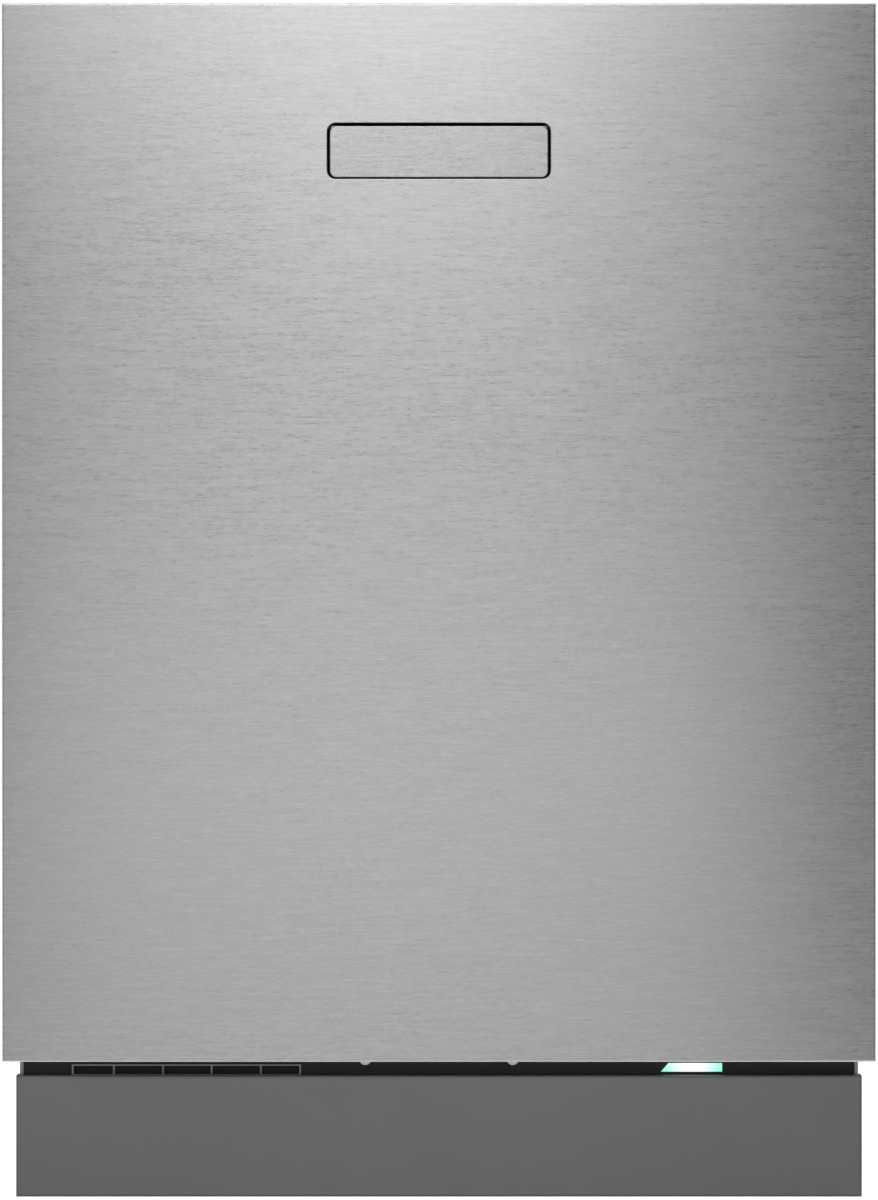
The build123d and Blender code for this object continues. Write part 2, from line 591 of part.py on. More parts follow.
with BuildPart() as float_cap:
    rod_z(FLOAT_X, FLOAT_Y, (BASIN_FLOOR + 9, BASIN_FLOOR + 26), 16)
    fillet(float_cap.faces().sort_by(Axis.Z)[-1].edges(), radius=6)
    rod_z(FLOAT_X, FLOAT_Y, (BASIN_FLOOR + 8, BASIN_FLOOR + 23), 13, Mode.SUBTRACT)
    rod_z(FLOAT_X, FLOAT_Y, (BASIN_FLOOR - 19, BASIN_FLOOR + 24), FLOAT_STEM)
save(float_cap, "float_cap")

with BuildPart() as wash_pump:
    rod_x((-196, -108), HUB_Y, 72, 38)
    rod_x((-112, -76), HUB_Y, 72, 34)
    rod_x((-206, -196), HUB_Y, 72, 16)
    block((-190, -120), (HUB_Y - 20, HUB_Y + 20), (28, 44))
    for angle in range(0, 360, 45):
        turn = angle * pi / 180
        rod_x((-192, -114), HUB_Y + 38 * cos(turn), 72 + 38 * sin(turn), 2.2)
save(wash_pump, "wash_pump")

with BuildPart() as drain_pump:
    rod_x((172, 226), FILTER_Y, PIPE_Z + 8, 24)
    rod_x((226, 252), FILTER_Y, PIPE_Z + 8, 18)
    block((176, 214), (FILTER_Y - 12, FILTER_Y + 12), (27, 50))
    rod_y(DRAIN_X, (FILTER_Y + 20, SPIGOT_Y - 2), PIPE_Z, 9.6)
    rod_y(DRAIN_X, (SPIGOT_Y - 4, SPIGOT_Y), PIPE_Z, 13.5)
    rod_y(DRAIN_X, (SPIGOT_Y - 1, REAR - 0.5), PIPE_Z, SPIGOT_RADIUS)
    rod_y(DRAIN_X, (REAR - 60, REAR + 1), PIPE_Z, 8, Mode.SUBTRACT)
save(drain_pump, "drain_pump")

with BuildPart() as inlet_valve:
    block((-222, -178), (205, 250), (38, 84))
    rod_z(-200, 228, (84, 104), 16)
    rod_y(-200, (250, 262), PIPE_Z, 19)
    rod_y(-200, (262, REAR - 0.5), PIPE_Z, 13.1)
    for y in (266, 270, 274):
        rod_y(-200, (y, y + 1.2), PIPE_Z, 13.22)
    rod_y(-200, (256, REAR + 1), PIPE_Z, 8, Mode.SUBTRACT)
save(inlet_valve, "inlet_valve")

with BuildPart() as terminal_box:
    block((90, 150), (236, REAR - TRAY_WALL), (32, 76))
    block((98, 142), (REAR - TRAY_WALL - 0.5, REAR - 0.6), (40, 68))
    block((106, 134), (258, REAR), (44, 64), Mode.SUBTRACT)
    for x in (113, 120, 127):
        block((x - 1, x + 1), (257, 270), (52, 58))
save(terminal_box, "terminal_box")

# ---------------------------------------------------------------- base, kickplate and hinges

with BuildPart() as base_tray:
    block((-TRAY_HALF, TRAY_HALF), (TRAY_FRONT, REAR), (TRAY_LOW, TRAY_HIGH))
    fillet(base_tray.edges().filter_by(Axis.Z).group_by(Axis.Y)[-1], radius=10)
    inside_y = (TRAY_FRONT + TRAY_WALL, REAR - TRAY_WALL)
    block((-TRAY_HALF + TRAY_WALL, TRAY_HALF - TRAY_WALL), inside_y, (TRAY_LOW + TRAY_WALL, TRAY_HIGH),
          Mode.SUBTRACT)
    block((-TRAY_HALF, TRAY_HALF), (TRAY_FRONT, TRAY_FRONT + TRAY_WALL), (TRAY_HIGH - 1, 112))
    for side in SIDES:
        for low in (-172, 180):
            block(span(side, 242, 268), (low, low + 26), (TRAY_LOW + 1, LEDGE_Z - SHEET))
            block(span(side, 264, TRAY_HALF - 1), (low + 8, low + 18), (TRAY_LOW + 1, TRAY_HIGH))
        for y in (FRONT_FOOT_Y, REAR_FOOT_Y):
            rod_z(side * FOOT_X, y, (TRAY_LOW, 62), 11)
            rod_z(side * FOOT_X, y, (TRAY_LOW - 2, 66), FOOT_THREAD + STEM_CLEARANCE, Mode.SUBTRACT)
    for x, radius in ((-200, 20), (DRAIN_X, 16)):
        rod_y(x, (REAR - 8, REAR + 2), PIPE_Z, radius, Mode.SUBTRACT)
    block((97.5, 142.5), (REAR - 8, REAR + 1), (39.5, 68.5), Mode.SUBTRACT)
    for side in SIDES:
        rod_y(side * PANEL_SCREW_X, (TRAY_FRONT - 1, TRAY_FRONT + 4), PANEL_SCREW_Z, 2.1, Mode.SUBTRACT)
    block((LIGHT_LEFT + 4, LIGHT_RIGHT - 4), (TRAY_FRONT - 1, TRAY_FRONT + 4), (LIGHT_LOW + 1, LIGHT_TOP - 1),
          Mode.SUBTRACT)
save(base_tray, "base_tray")

with BuildPart() as base_front_panel:
    block((-FLANGE_HALF, FLANGE_HALF), (BASE_PANEL_FACE, TRAY_FRONT), (TRAY_LOW + 2, BASE_PANEL_TOP))
    for left, width in VENT_CELLS:
        block((left, left + width), (-222, -214), (VENT_LOW + VENT_RIM, VENT_TOP - VENT_RIM), Mode.SUBTRACT)
    block((LIGHT_LEFT + 4, LIGHT_RIGHT - 4), (-222, -214), (LIGHT_LOW + 1, LIGHT_TOP - 1), Mode.SUBTRACT)
    for side in SIDES:
        rod_y(side * PANEL_SCREW_X, (-222, -214), PANEL_SCREW_Z, 2.1, Mode.SUBTRACT)
save(base_front_panel, "base_front_panel")

with BuildPart() as vent_grille:
    block((VENT_LEFT, VENT_RIGHT), (BASE_PANEL_FACE - 1.2, BASE_PANEL_FACE), (VENT_LOW, VENT_TOP))
    for left, width in VENT_CELLS:
        block((left, left + width), (-222, -214), (VENT_LOW + VENT_RIM, VENT_TOP - VENT_RIM), Mode.SUBTRACT)
save(vent_grille, "vent_grille")

with BuildPart() as panel_screws:
    for side in SIDES:
        rod_y(side * PANEL_SCREW_X, (BASE_PANEL_FACE - 2.6, BASE_PANEL_FACE), PANEL_SCREW_Z, 4.5)
        rod_y(side * PANEL_SCREW_X, (BASE_PANEL_FACE, -206), PANEL_SCREW_Z, 1.9)
    fillet(panel_screws.faces().sort_by(Axis.Y)[:2].edges(), radius=1.6)
save(panel_screws, "panel_screws")

with BuildPart() as status_light:
    with BuildSketch(wall_plane(BASE_PANEL_FACE)):
        with BuildLine():
            Polyline((LIGHT_LEFT, LIGHT_LOW), (LIGHT_RIGHT, LIGHT_LOW), (LIGHT_RIGHT, LIGHT_TOP),
                     (LIGHT_LEFT + 5, LIGHT_TOP), close=True)
        make_face()
    extrude(amount=1.8)
    block((LIGHT_LEFT + 5, LIGHT_RIGHT - 5), (BASE_PANEL_FACE - 0.5, -206),
          (LIGHT_LOW + 1.3, LIGHT_TOP - 1.3))
save(status_light, "status_light")

with BuildPart() as kickplate:
    block((-KICK_HALF, KICK_HALF), (KICK_FRONT, KICK_FRONT + 20), (KICK_LOW, KICK_TOP))
    fillet(kickplate.faces().sort_by(Axis.Y)[0].edges(), radius=1.6)
    block((-KICK_HALF + KICK_SHEET, KICK_HALF - KICK_SHEET), (KICK_FRONT + KICK_SHEET, KICK_FRONT + 21),
          (KICK_LOW - 1, KICK_TOP - KICK_SHEET), Mode.SUBTRACT)
    block((-KICK_HALF + KICK_SHEET, KICK_HALF - KICK_SHEET), (KICK_FRONT + 8.5, KICK_FRONT + 21),
          (KICK_LOW, KICK_TOP + 1), Mode.SUBTRACT)
    for side in SIDES:
        block(span(side, 180, 200), (KICK_FRONT + KICK_SHEET - 0.2, BASE_PANEL_FACE), (30, 34))
        block(span(side, 180, 200), (KICK_FRONT + KICK_SHEET - 0.2, BASE_PANEL_FACE), (66, 70))
save(kickplate, "kickplate")

with BuildPart() as hinge_plates:
    for side in SIDES:
        with BuildSketch(Plane.YZ.offset(min(span(side, TRAY_HALF, TRAY_HALF + 2.5)))):
            with Locations((PIVOT_Y, PIVOT_Z)):
                Circle(12)
            with Locations((-232, 123)):
                Rectangle(36, 18)
            with Locations((-185, 101)):
                Rectangle(70, 62)
            with Locations((-62, 88)):
                Rectangle(28, 40)
        extrude(amount=2.5)
        rod_x(span(side, TRAY_HALF + 1, 294.6), PIVOT_Y, PIVOT_Z, 4)
        rod_x(span(side, 294.4, 295.6), PIVOT_Y, PIVOT_Z, 6)
        rod_x(span(side, TRAY_HALF + 1, 296.6), -66, 92, 2.5)
save(hinge_plates, "hinge_plates")

with BuildPart() as hinge_springs:
    for side in SIDES:
        front_eye = Vector(side * 295, PIVOT_Y, PIVOT_Z + 26)
        rear_eye = Vector(side * 293.4, -66, 92)
        along = (rear_eye - front_eye).normalized()
        length = (rear_eye - front_eye).length
        with Locations(Location(front_eye, (0, 90, 0)), Location(rear_eye, (0, 90, 0))):
            Torus(4.3, 1.0)
        rod_length = length * 0.36
        for start, run in ((front_eye + along * 4.3, rod_length), (rear_eye - along * 18, 13.8)):
            with BuildSketch(Plane(origin=start, z_dir=along)):
                Circle(1.0)
            extrude(amount=run)
        coil_start = front_eye + along * (rod_length + 4)
        coil_length = length - rod_length - 22
        with BuildLine():
            coil = Helix(4.6, coil_length, 3.3, center=coil_start, direction=along)
        with BuildSketch(Plane(origin=coil @ 0, z_dir=coil % 0)):
            Circle(0.85)
        sweep(path=coil, is_frenet=True)
save(hinge_springs, "hinge_springs")

for side, label in ((-1, "front_foot_left"), (1, "front_foot_right")):
    with BuildPart() as foot:
        rod_z(side * FOOT_X, FRONT_FOOT_Y, (0, 6), 15)
        rod_z(side * FOOT_X, FRONT_FOOT_Y, (5, 14), 8)
        rod_z(side * FOOT_X, FRONT_FOOT_Y, (5, 76), FOOT_THREAD)
    save(foot, label)

with BuildPart() as rear_feet:
    for side in SIDES:
        rod_z(side * FOOT_X, REAR_FOOT_Y, (0, 6), 15)
        rod_z(side * FOOT_X, REAR_FOOT_Y, (5, 14), 8)
        rod_z(side * FOOT_X, REAR_FOOT_Y, (5, 76), FOOT_THREAD)
save(rear_feet, "rear_feet")

# ---------------------------------------------------------------- racks


def bent_wire(plane, half, height):
    """A square-section wire bent up at both ends, lying in the plane, drawn from its lowest run."""
    with BuildPart(mode=Mode.PRIVATE) as wire:
        with BuildSketch(plane):
            with BuildLine():
                FilletPolyline((-half, height), (-half, 0), (half, 0), (half, height), radius=BEND)
            trace(line_width=WIRE)
        extrude(amount=WIRE / 2, both=True)
    return wire.part


def wire_loop(length, width, middle_y, z, size):
    """A flat closed wire with rounded corners around the rack."""
    with BuildPart(mode=Mode.PRIVATE) as loop:
        with BuildSketch(Plane.XY.offset(z - size / 2)):
            with Locations((0, middle_y)):
                RectangleRounded(length + size, width + size, BEND + size)
                RectangleRounded(length - size, width - size, BEND, mode=Mode.SUBTRACT)
        extrude(amount=size)
    return loop.part


def basket_wires(front, back, floor, rim):
    """All the wires of a rectangular rack, with its top and middle loops."""
    middle = (front + back) / 2
    height = rim - floor
    wires = []
    for index in range(CROSS_WIRES):
        y = front + WIRE_INSET + index * (back - front - 2 * WIRE_INSET) / (CROSS_WIRES - 1)
        crosswise = Plane(origin=(0, y, floor), x_dir=(1, 0, 0), z_dir=(0, -1, 0))
        wires.append(bent_wire(crosswise, RACK_HALF, height))
    for index in range(LONG_WIRES):
        x = -RACK_HALF + WIRE_INSET + index * LONG_PITCH
        lengthwise = Plane(origin=(x, middle, floor + WIRE_STEP), x_dir=(0, 1, 0), z_dir=(1, 0, 0))
        wires.append(bent_wire(lengthwise, (back - front) / 2, height - WIRE_STEP))
    wires.append(wire_loop(2 * RACK_HALF, back - front, middle, rim, RIM))
    wires.append(wire_loop(2 * RACK_HALF, back - front, middle, floor + height * 0.45, WIRE))
    return wires


with BuildPart(mode=Mode.PRIVATE) as lower_fittings:
    for side in SIDES:
        for y in WHEEL_YS.values():
            block(span(side, RACK_HALF - 1, WHEEL_X - 6.4), (y - 11, y + 11), (WHEEL_Z - 8, 214))
            rod_x(span(side, WHEEL_X - 7, WHEEL_X + WHEEL_WIDTH / 2 + 2), y, WHEEL_Z, AXLE)
        block(span(side, 214, 222), (TINE_Y - 6, TINE_Y + 6), (LOWER_FLOOR - 1, TINE_Z + 5))
        rod_x(span(side, 212, 224), TINE_Y, TINE_Z, TINE_WIRE + STEM_CLEARANCE, Mode.SUBTRACT)
    for index in range(LONG_WIRES - 1):
        rod_z(-RACK_HALF + WIRE_INSET + (index + 0.5) * LONG_PITCH, FIXED_TINE_Y, (LOWER_FLOOR + 2, 262),
              WIRE / 2)
    rod_x((-RACK_HALF, RACK_HALF), FIXED_TINE_Y, LOWER_FLOOR + WIRE_STEP, TINE_WIRE)

with BuildPart() as lower_rack:
    add(basket_wires(LOWER_FRONT, LOWER_BACK, LOWER_FLOOR, LOWER_RIM) + lower_fittings.solids())
save(lower_rack, "lower_rack")

for row, y in WHEEL_YS.items():
    for side, side_name in ((-1, "left"), (1, "right")):
        with BuildPart() as wheel:
            rod_x(span(side, WHEEL_X - WHEEL_WIDTH / 2, WHEEL_X + WHEEL_WIDTH / 2), y, WHEEL_Z, WHEEL_RADIUS)
            fillet(wheel.edges(), radius=1.5)
            rod_x(span(side, WHEEL_X + 1.5, WHEEL_X + WHEEL_WIDTH), y, WHEEL_Z, WHEEL_RADIUS - 4, Mode.SUBTRACT)
            rod_x(span(side, WHEEL_X - 5, WHEEL_X + WHEEL_WIDTH / 2), y, WHEEL_Z, 7)
            for angle in range(0, 360, 60):
                with Locations(Location((side * (WHEEL_X + 3), y, WHEEL_Z), (angle, 0, 0))):
                    Box(5, 2 * WHEEL_RADIUS - 6, 2.4)
            rod_x(span(side, WHEEL_X - 10, WHEEL_X + 10), y, WHEEL_Z, AXLE + SPINDLE_CLEARANCE, Mode.SUBTRACT)
        save(wheel, f"{row}_{side_name}_wheel")

with BuildPart() as plate_tines:
    rod_x((-222.5, 222.5), TINE_Y, TINE_Z, TINE_WIRE)
    for index in range(18):
        x = -204 + index * 24
        rod_z(x, TINE_Y, (TINE_Z, TINE_Z + 88), WIRE / 2)
save(plate_tines, "plate_tines")

with BuildPart(mode=Mode.PRIVATE) as upper_fittings:
    for side in SIDES:
        block(span(side, 260, 263.4), (UPPER_FRONT, 190), (UPPER_GUIDE_Z - 8, UPPER_GUIDE_Z + 8))
        for y in (-165, -45, 75, 165):
            block(span(side, RACK_HALF - 1, 260.5), (y, y + 9), (UPPER_GUIDE_Z - 5, UPPER_GUIDE_Z + 5))
        for y in (-160, 152):
            block(span(side, SHELF_X - 5, RACK_HALF + 1), (y, y + 8), (SHELF_Z - 6, SHELF_Z + 6))
        rod_y(side * SHELF_X, (-170, 170), SHELF_Z, TINE_WIRE + STEM_CLEARANCE, Mode.SUBTRACT)

with BuildPart() as upper_rack:
    add(basket_wires(UPPER_FRONT, UPPER_BACK, UPPER_FLOOR, UPPER_RIM) + upper_fittings.solids())
save(upper_rack, "upper_rack")

for side, label in ((-1, "cup_shelf_left"), (1, "cup_shelf_right")):
    with BuildPart() as shelf:
        rod_y(side * SHELF_X, (-159, 159), SHELF_Z, TINE_WIRE)
        rod_y(side * (SHELF_X - SHELF_WIDTH), (-140, 140), SHELF_Z, TINE_WIRE)
        rod_y(side * (SHELF_X - SHELF_WIDTH / 2), (-140, 140), SHELF_Z, TINE_WIRE)
        for index in range(11):
            rod_x(span(side, SHELF_X - SHELF_WIDTH, SHELF_X), -140 + index * 28, SHELF_Z, WIRE / 2)
    save(shelf, label)

with BuildPart() as upper_feed_tube:
    feed_z = UPPER_GUIDE_Z - 60
    block((-12, 12), (HUB_Y - 12, 214), (feed_z - 5, feed_z + 5))
    fillet(upper_feed_tube.edges().filter_by(Axis.Y), radius=3)
    rod_y(0, (213, 226), feed_z, 11)
    rod_y(0, (216, 228), feed_z, 7, Mode.SUBTRACT)
    for y in (60, 140):
        block((-20, 20), (y, y + 10), (feed_z + 4, UPPER_FLOOR - WIRE / 2))
    rod_z(HUB_X, HUB_Y, (UPPER_ARM_Z - 8, feed_z - 4), SPINDLE)
    rod_z(HUB_X, HUB_Y, (UPPER_ARM_Z - 10.6, UPPER_ARM_Z - 7.9), SPINDLE + 3)
save(upper_feed_tube, "upper_feed_tube")

with BuildPart() as rack_guides:
    for side in SIDES:
        for z, half_height, inner in ((UPPER_GUIDE_Z, 14, 258), (CUTLERY_GUIDE_Z, 9, 256)):
            block(span(side, inner, TUB_HALF), (GUIDE_FRONT, GUIDE_BACK), (z - half_height, z + half_height))
            block(span(side, inner - 1, TUB_HALF - 1.6), (GUIDE_FRONT - 1, GUIDE_BACK - 2),
                  (z - half_height + 1.6, z + half_height - 1.6), Mode.SUBTRACT)
save(rack_guides, "rack_guides")

with BuildPart() as upper_rack_rails:
    for side in SIDES:
        block(span(side, 259, 265.8), (GUIDE_FRONT + 5, 195), (UPPER_GUIDE_Z - 11.4, UPPER_GUIDE_Z + 11.4))
        block(span(side, 258, 264.4), (GUIDE_FRONT + 4, 196), (UPPER_GUIDE_Z - 9.6, UPPER_GUIDE_Z + 9.6),
              Mode.SUBTRACT)
save(upper_rack_rails, "upper_rack_rails")

with BuildPart() as cutlery_tray:
    with BuildSketch(Plane.XY.offset(TRAY_Z)):
        RectangleRounded(2 * CUTLERY_HALF, CUTLERY_LENGTH, 24)
        for y in (-128, 0, 128):
            with Locations((0, y)):
                with GridLocations(19, 1, 24, 1):
                    Rectangle(9, 104, mode=Mode.SUBTRACT)
    extrude(amount=CUTLERY_WALL)
    with BuildSketch(Plane.XY.offset(TRAY_Z)):
        RectangleRounded(2 * CUTLERY_HALF, CUTLERY_LENGTH, 24)
        RectangleRounded(2 * (CUTLERY_HALF - CUTLERY_WALL), CUTLERY_LENGTH - 2 * CUTLERY_WALL, 22,
                         mode=Mode.SUBTRACT)
    extrude(amount=CUTLERY_HEIGHT)
    with BuildSketch(Plane.XY.offset(TRAY_Z)):
        with GridLocations(168, 1, 2, 1):
            Rectangle(CUTLERY_WALL, CUTLERY_LENGTH - 2)
    extrude(amount=34)
    with BuildSketch(Plane.XY.offset(TRAY_Z)):
        for x in (-166, 166):
            with Locations((x, 0)):
                with GridLocations(1, 26, 1, 14):
                    Rectangle(120, 1.6)
    extrude(amount=14)
    for side in SIDES:
        block(span(side, CUTLERY_HALF - 1.5, 264.5), (-190, 190), (CUTLERY_GUIDE_Z - 5, CUTLERY_GUIDE_Z + 5))
save(cutlery_tray, "cutlery_tray")

# ---------------------------------------------------------------- spray arms


def spray_arm(reach, z, hub, nozzles):
    """A two-bladed hollow-looking arm with a round hub and a row of nozzle holes along each blade."""
    with BuildPart(mode=Mode.PRIVATE) as arm:
        with BuildSketch(Plane.XY.offset(z - 5)):
            with Locations((HUB_X, HUB_Y)):
                SlotOverall(2 * reach, 30)
                Circle(30)
        extrude(amount=10)
        fillet(arm.edges().filter_by(GeomType.CIRCLE, reverse=True).filter_by(Axis.X), radius=3)
        for index in range(nozzles):
            x = reach - 16 - index * (reach - 50) / nozzles
            rod_z(HUB_X + x, HUB_Y + 5, (z + 3, z + 8), 2.2, Mode.SUBTRACT)
            rod_z(HUB_X - x, HUB_Y - 5, (z + 3, z + 8), 2.2, Mode.SUBTRACT)
        rod_z(HUB_X, HUB_Y, (z - 7, z + 7), 17)
        rod_z(HUB_X, HUB_Y, (z - 10, z + 10), hub + SPINDLE_CLEARANCE, Mode.SUBTRACT)
    return arm.part


for label, reach, z, hub, nozzles in (
    ("lower_spray_arm", 212, LOWER_ARM_Z, SPINDLE, 9),
    ("upper_spray_arm", 180, UPPER_ARM_Z, SPINDLE, 8),
    ("top_spray_arm", 110, TOP_ARM_Z, 6, 5),
):
    with BuildPart() as arm:
        add(spray_arm(reach, z, hub, nozzles))
    save(arm, label)
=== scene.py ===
"""Looks for the built-in dishwasher.

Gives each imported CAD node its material, draws the racks and springs as round wires, and sets up the
floor, camera and lights. Lengths are in metres.
"""
import json
import math

import bmesh
import bpy
from mathutils import Matrix, Vector

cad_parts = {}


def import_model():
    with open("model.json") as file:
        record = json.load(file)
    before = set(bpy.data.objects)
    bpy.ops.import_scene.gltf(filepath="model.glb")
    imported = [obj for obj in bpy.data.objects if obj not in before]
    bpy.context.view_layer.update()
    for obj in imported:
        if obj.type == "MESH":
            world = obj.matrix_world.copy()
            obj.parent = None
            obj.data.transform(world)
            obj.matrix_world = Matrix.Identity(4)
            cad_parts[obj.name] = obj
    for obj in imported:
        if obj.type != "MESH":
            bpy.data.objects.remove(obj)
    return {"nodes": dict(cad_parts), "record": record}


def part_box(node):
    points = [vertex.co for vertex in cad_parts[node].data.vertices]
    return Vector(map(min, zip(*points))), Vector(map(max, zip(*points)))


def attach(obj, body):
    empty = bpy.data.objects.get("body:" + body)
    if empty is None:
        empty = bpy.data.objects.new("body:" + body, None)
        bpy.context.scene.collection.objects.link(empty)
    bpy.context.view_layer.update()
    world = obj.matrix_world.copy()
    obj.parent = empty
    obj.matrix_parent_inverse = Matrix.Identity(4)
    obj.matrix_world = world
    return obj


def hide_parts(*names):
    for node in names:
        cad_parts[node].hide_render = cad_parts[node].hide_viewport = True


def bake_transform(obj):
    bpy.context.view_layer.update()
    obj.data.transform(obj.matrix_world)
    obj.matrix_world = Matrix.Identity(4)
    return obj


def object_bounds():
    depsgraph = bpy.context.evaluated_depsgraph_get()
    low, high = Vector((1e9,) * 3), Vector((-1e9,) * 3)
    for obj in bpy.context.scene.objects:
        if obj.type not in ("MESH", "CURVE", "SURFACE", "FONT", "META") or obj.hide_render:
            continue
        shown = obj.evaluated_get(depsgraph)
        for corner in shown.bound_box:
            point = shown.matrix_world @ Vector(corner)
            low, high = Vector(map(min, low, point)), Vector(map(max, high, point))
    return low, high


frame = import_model()
cad_box = [list(corner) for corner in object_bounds()]

MM = 0.001


# ------------------------------------------------------------------ node helpers


class Material:
    """A Principled material and short calls that add the texture nodes behind its sockets."""

    def __init__(self, name, colour, metallic=0.0, roughness=0.5):
        self.material = bpy.data.materials.new(name)
        self.material.use_nodes = True
        self.tree = self.material.node_tree
        self.shader = self.tree.nodes["Principled BSDF"]
        self.shader.inputs["Base Color"].default_value = (*colour, 1)
        self.shader.inputs["Metallic"].default_value = metallic
        self.shader.inputs["Roughness"].default_value = roughness
        self.colour = colour

    def node(self, kind, **settings):
        """A new node of this material, with its properties set."""
        made = self.tree.nodes.new(kind)
        for key, value in settings.items():
            setattr(made, key, value)
        return made

    def link(self, out, into):
        """Joins an output socket to an input socket."""
        self.tree.links.new(out, into)

    def place(self, scale):
        """Object coordinates in metres times a scale on each axis."""
        coordinates = self.node("ShaderNodeTexCoord")
        mapping = self.node("ShaderNodeMapping")
        mapping.inputs["Scale"].default_value = scale
        self.link(coordinates.outputs["Object"], mapping.inputs["Vector"])
        return mapping.outputs["Vector"]

    def noise(self, scale, detail=3.0, roughness=0.55, distortion=0.0):
        """Noise whose grain is 1 / scale metres on each axis."""
        noise = self.node("ShaderNodeTexNoise")
        noise.inputs["Scale"].default_value = 1.0
        noise.inputs["Detail"].default_value = detail
        noise.inputs["Roughness"].default_value = roughness
        noise.inputs["Distortion"].default_value = distortion
        self.link(self.place(scale), noise.inputs["Vector"])
        return noise.outputs["Fac"]

    def spread(self, value, low, high, start=0.25, end=0.75):
        """Maps a texture value between start and end to the range low to high."""
        remap = self.node("ShaderNodeMapRange")
        for key, number in (("From Min", start), ("From Max", end), ("To Min", low), ("To Max", high)):
            remap.inputs[key].default_value = number
        self.link(value, remap.inputs["Value"])
        return remap.outputs["Result"]

    def add(self, first, second):
        """The sum of two values."""
        maths = self.node("ShaderNodeMath", operation="ADD")
        self.link(first, maths.inputs[0])
        self.link(second, maths.inputs[1])
        return maths.outputs["Value"]

    def vary_colour(self, value, darker, lighter):
        """Colour between two brightness factors of the material's own colour, driven by value."""
        ramp = self.node("ShaderNodeValToRGB")
        ramp.color_ramp.elements[0].color = (*[c * darker for c in self.colour], 1)
        ramp.color_ramp.elements[1].color = (*[min(1.0, c * lighter) for c in self.colour], 1)
        self.link(value, ramp.inputs["Fac"])
        self.link(ramp.outputs["Color"], self.shader.inputs["Base Color"])
        return ramp.outputs["Color"]

    def axis(self, letter):
        """Object coordinate along one axis, in metres."""
        split = self.node("ShaderNodeSeparateXYZ")
        self.link(self.place((1, 1, 1)), split.inputs["Vector"])
        return split.outputs[letter]

    def shade(self, colour, factor):
        """Multiplies a colour by a brightness factor on its way to the shader."""
        scaled = self.node("ShaderNodeVectorMath", operation="SCALE")
        self.link(colour, scaled.inputs[0])
        self.link(factor, scaled.inputs["Scale"])
        self.link(scaled.outputs["Vector"], self.shader.inputs["Base Color"])

    def rough(self, value):
        """Drives the roughness with a value."""
        self.link(value, self.shader.inputs["Roughness"])

    def bump(self, height, distance, strength=1.0):
        """Bump with a depth in metres; a second call stacks on the first."""
        bump = self.node("ShaderNodeBump")
        bump.inputs["Strength"].default_value = strength
        bump.inputs["Distance"].default_value = distance
        self.link(height, bump.inputs["Height"])
        normal = self.shader.inputs["Normal"]
        if normal.is_linked:
            self.link(normal.links[0].from_socket, bump.inputs["Normal"])
        self.link(bump.outputs["Normal"], normal)

    def tangent(self, direction):
        """Stretches the metal's highlights along a fixed direction of the object."""
        vector = self.node("ShaderNodeCombineXYZ")
        for socket, number in zip(vector.inputs, direction):
            socket.default_value = number
        self.link(vector.outputs["Vector"], self.shader.inputs["Tangent"])


# ------------------------------------------------------------------ materials


# Grains per metre of the brushed finish, along X, Y and Z: fine scratches and longer streaks
FINE_GRAIN = (170, 1500, 1500)
STREAK_GRAIN = (34, 620, 620)
FINE_SHARE = 0.62
GRAIN_CONTRAST = 0.2
GRAIN_DEPTH = 0.6e-5
STRETCH = 0.75
# Depth over which the painted shade on a sheet's hidden side fades in
PAINTED_SHADE_DEPTH = 0.8 * MM


def brushed_steel(name, colour, roughness=0.3, painted_shade_behind=None):
    """Line-brushed stainless steel: fine scratches along X, highlights stretched across them.

    The colour is painted dark behind a plane of constant Y, given by the last argument: painted shade on
    the sides of a folded sheet where they sink into a gap.
    """
    steel = Material(name, colour, metallic=1.0, roughness=roughness)
    fine = steel.noise(FINE_GRAIN, detail=2.0, roughness=0.7)
    streak = steel.noise(STREAK_GRAIN, detail=3.0, roughness=0.6)
    cloud = steel.noise((5, 5, 5), detail=2.0)
    both = steel.add(steel.spread(fine, 0, FINE_SHARE), steel.spread(streak, 0, 1 - FINE_SHARE))
    tinted = steel.vary_colour(both, 1 - GRAIN_CONTRAST, 1 + GRAIN_CONTRAST)
    if painted_shade_behind is not None:
        # painted shade: the colour falls to a tenth behind the plane, standing in for the shadow in the
        # gap
        depth = steel.spread(steel.axis("Y"), 1.0, 0.1, painted_shade_behind, painted_shade_behind + PAINTED_SHADE_DEPTH)
        steel.shade(tinted, depth)
    grain_rough = steel.spread(both, roughness - 0.07, roughness + 0.07, 0.0, 1.0)
    steel.rough(steel.add(grain_rough, steel.spread(cloud, -0.012, 0.012)))
    steel.bump(both, GRAIN_DEPTH, 0.35)
    steel.shader.inputs["Anisotropic"].default_value = STRETCH
    steel.tangent((0, 0, 1))
    return steel.material


def tub_steel(name, colour):
    """Bright-annealed sheet: smooth, with faint rolling lines, drawing marks and water spots."""
    steel = Material(name, colour, metallic=1.0, roughness=0.24)
    rolling = steel.noise((12, 500, 500), detail=2.0)
    cloud = steel.noise((9, 9, 9), detail=4.0, distortion=0.6)
    spots = steel.node("ShaderNodeTexVoronoi", feature="F1")
    spots.inputs["Scale"].default_value = 1.0
    steel.link(steel.place((55, 55, 55)), spots.inputs["Vector"])
    dried = steel.spread(spots.outputs["Distance"], 0.05, 0.0, 0.05, 0.22)
    steel.vary_colour(cloud, 0.94, 1.05)
    rolled_and_dried = steel.add(steel.spread(rolling, -0.03, 0.03), dried)
    steel.rough(steel.add(steel.spread(cloud, 0.19, 0.31), rolled_and_dried))
    steel.bump(rolling, 0.5e-5, 0.25)
    steel.bump(cloud, 1.2e-4, 0.12)
    return steel.material


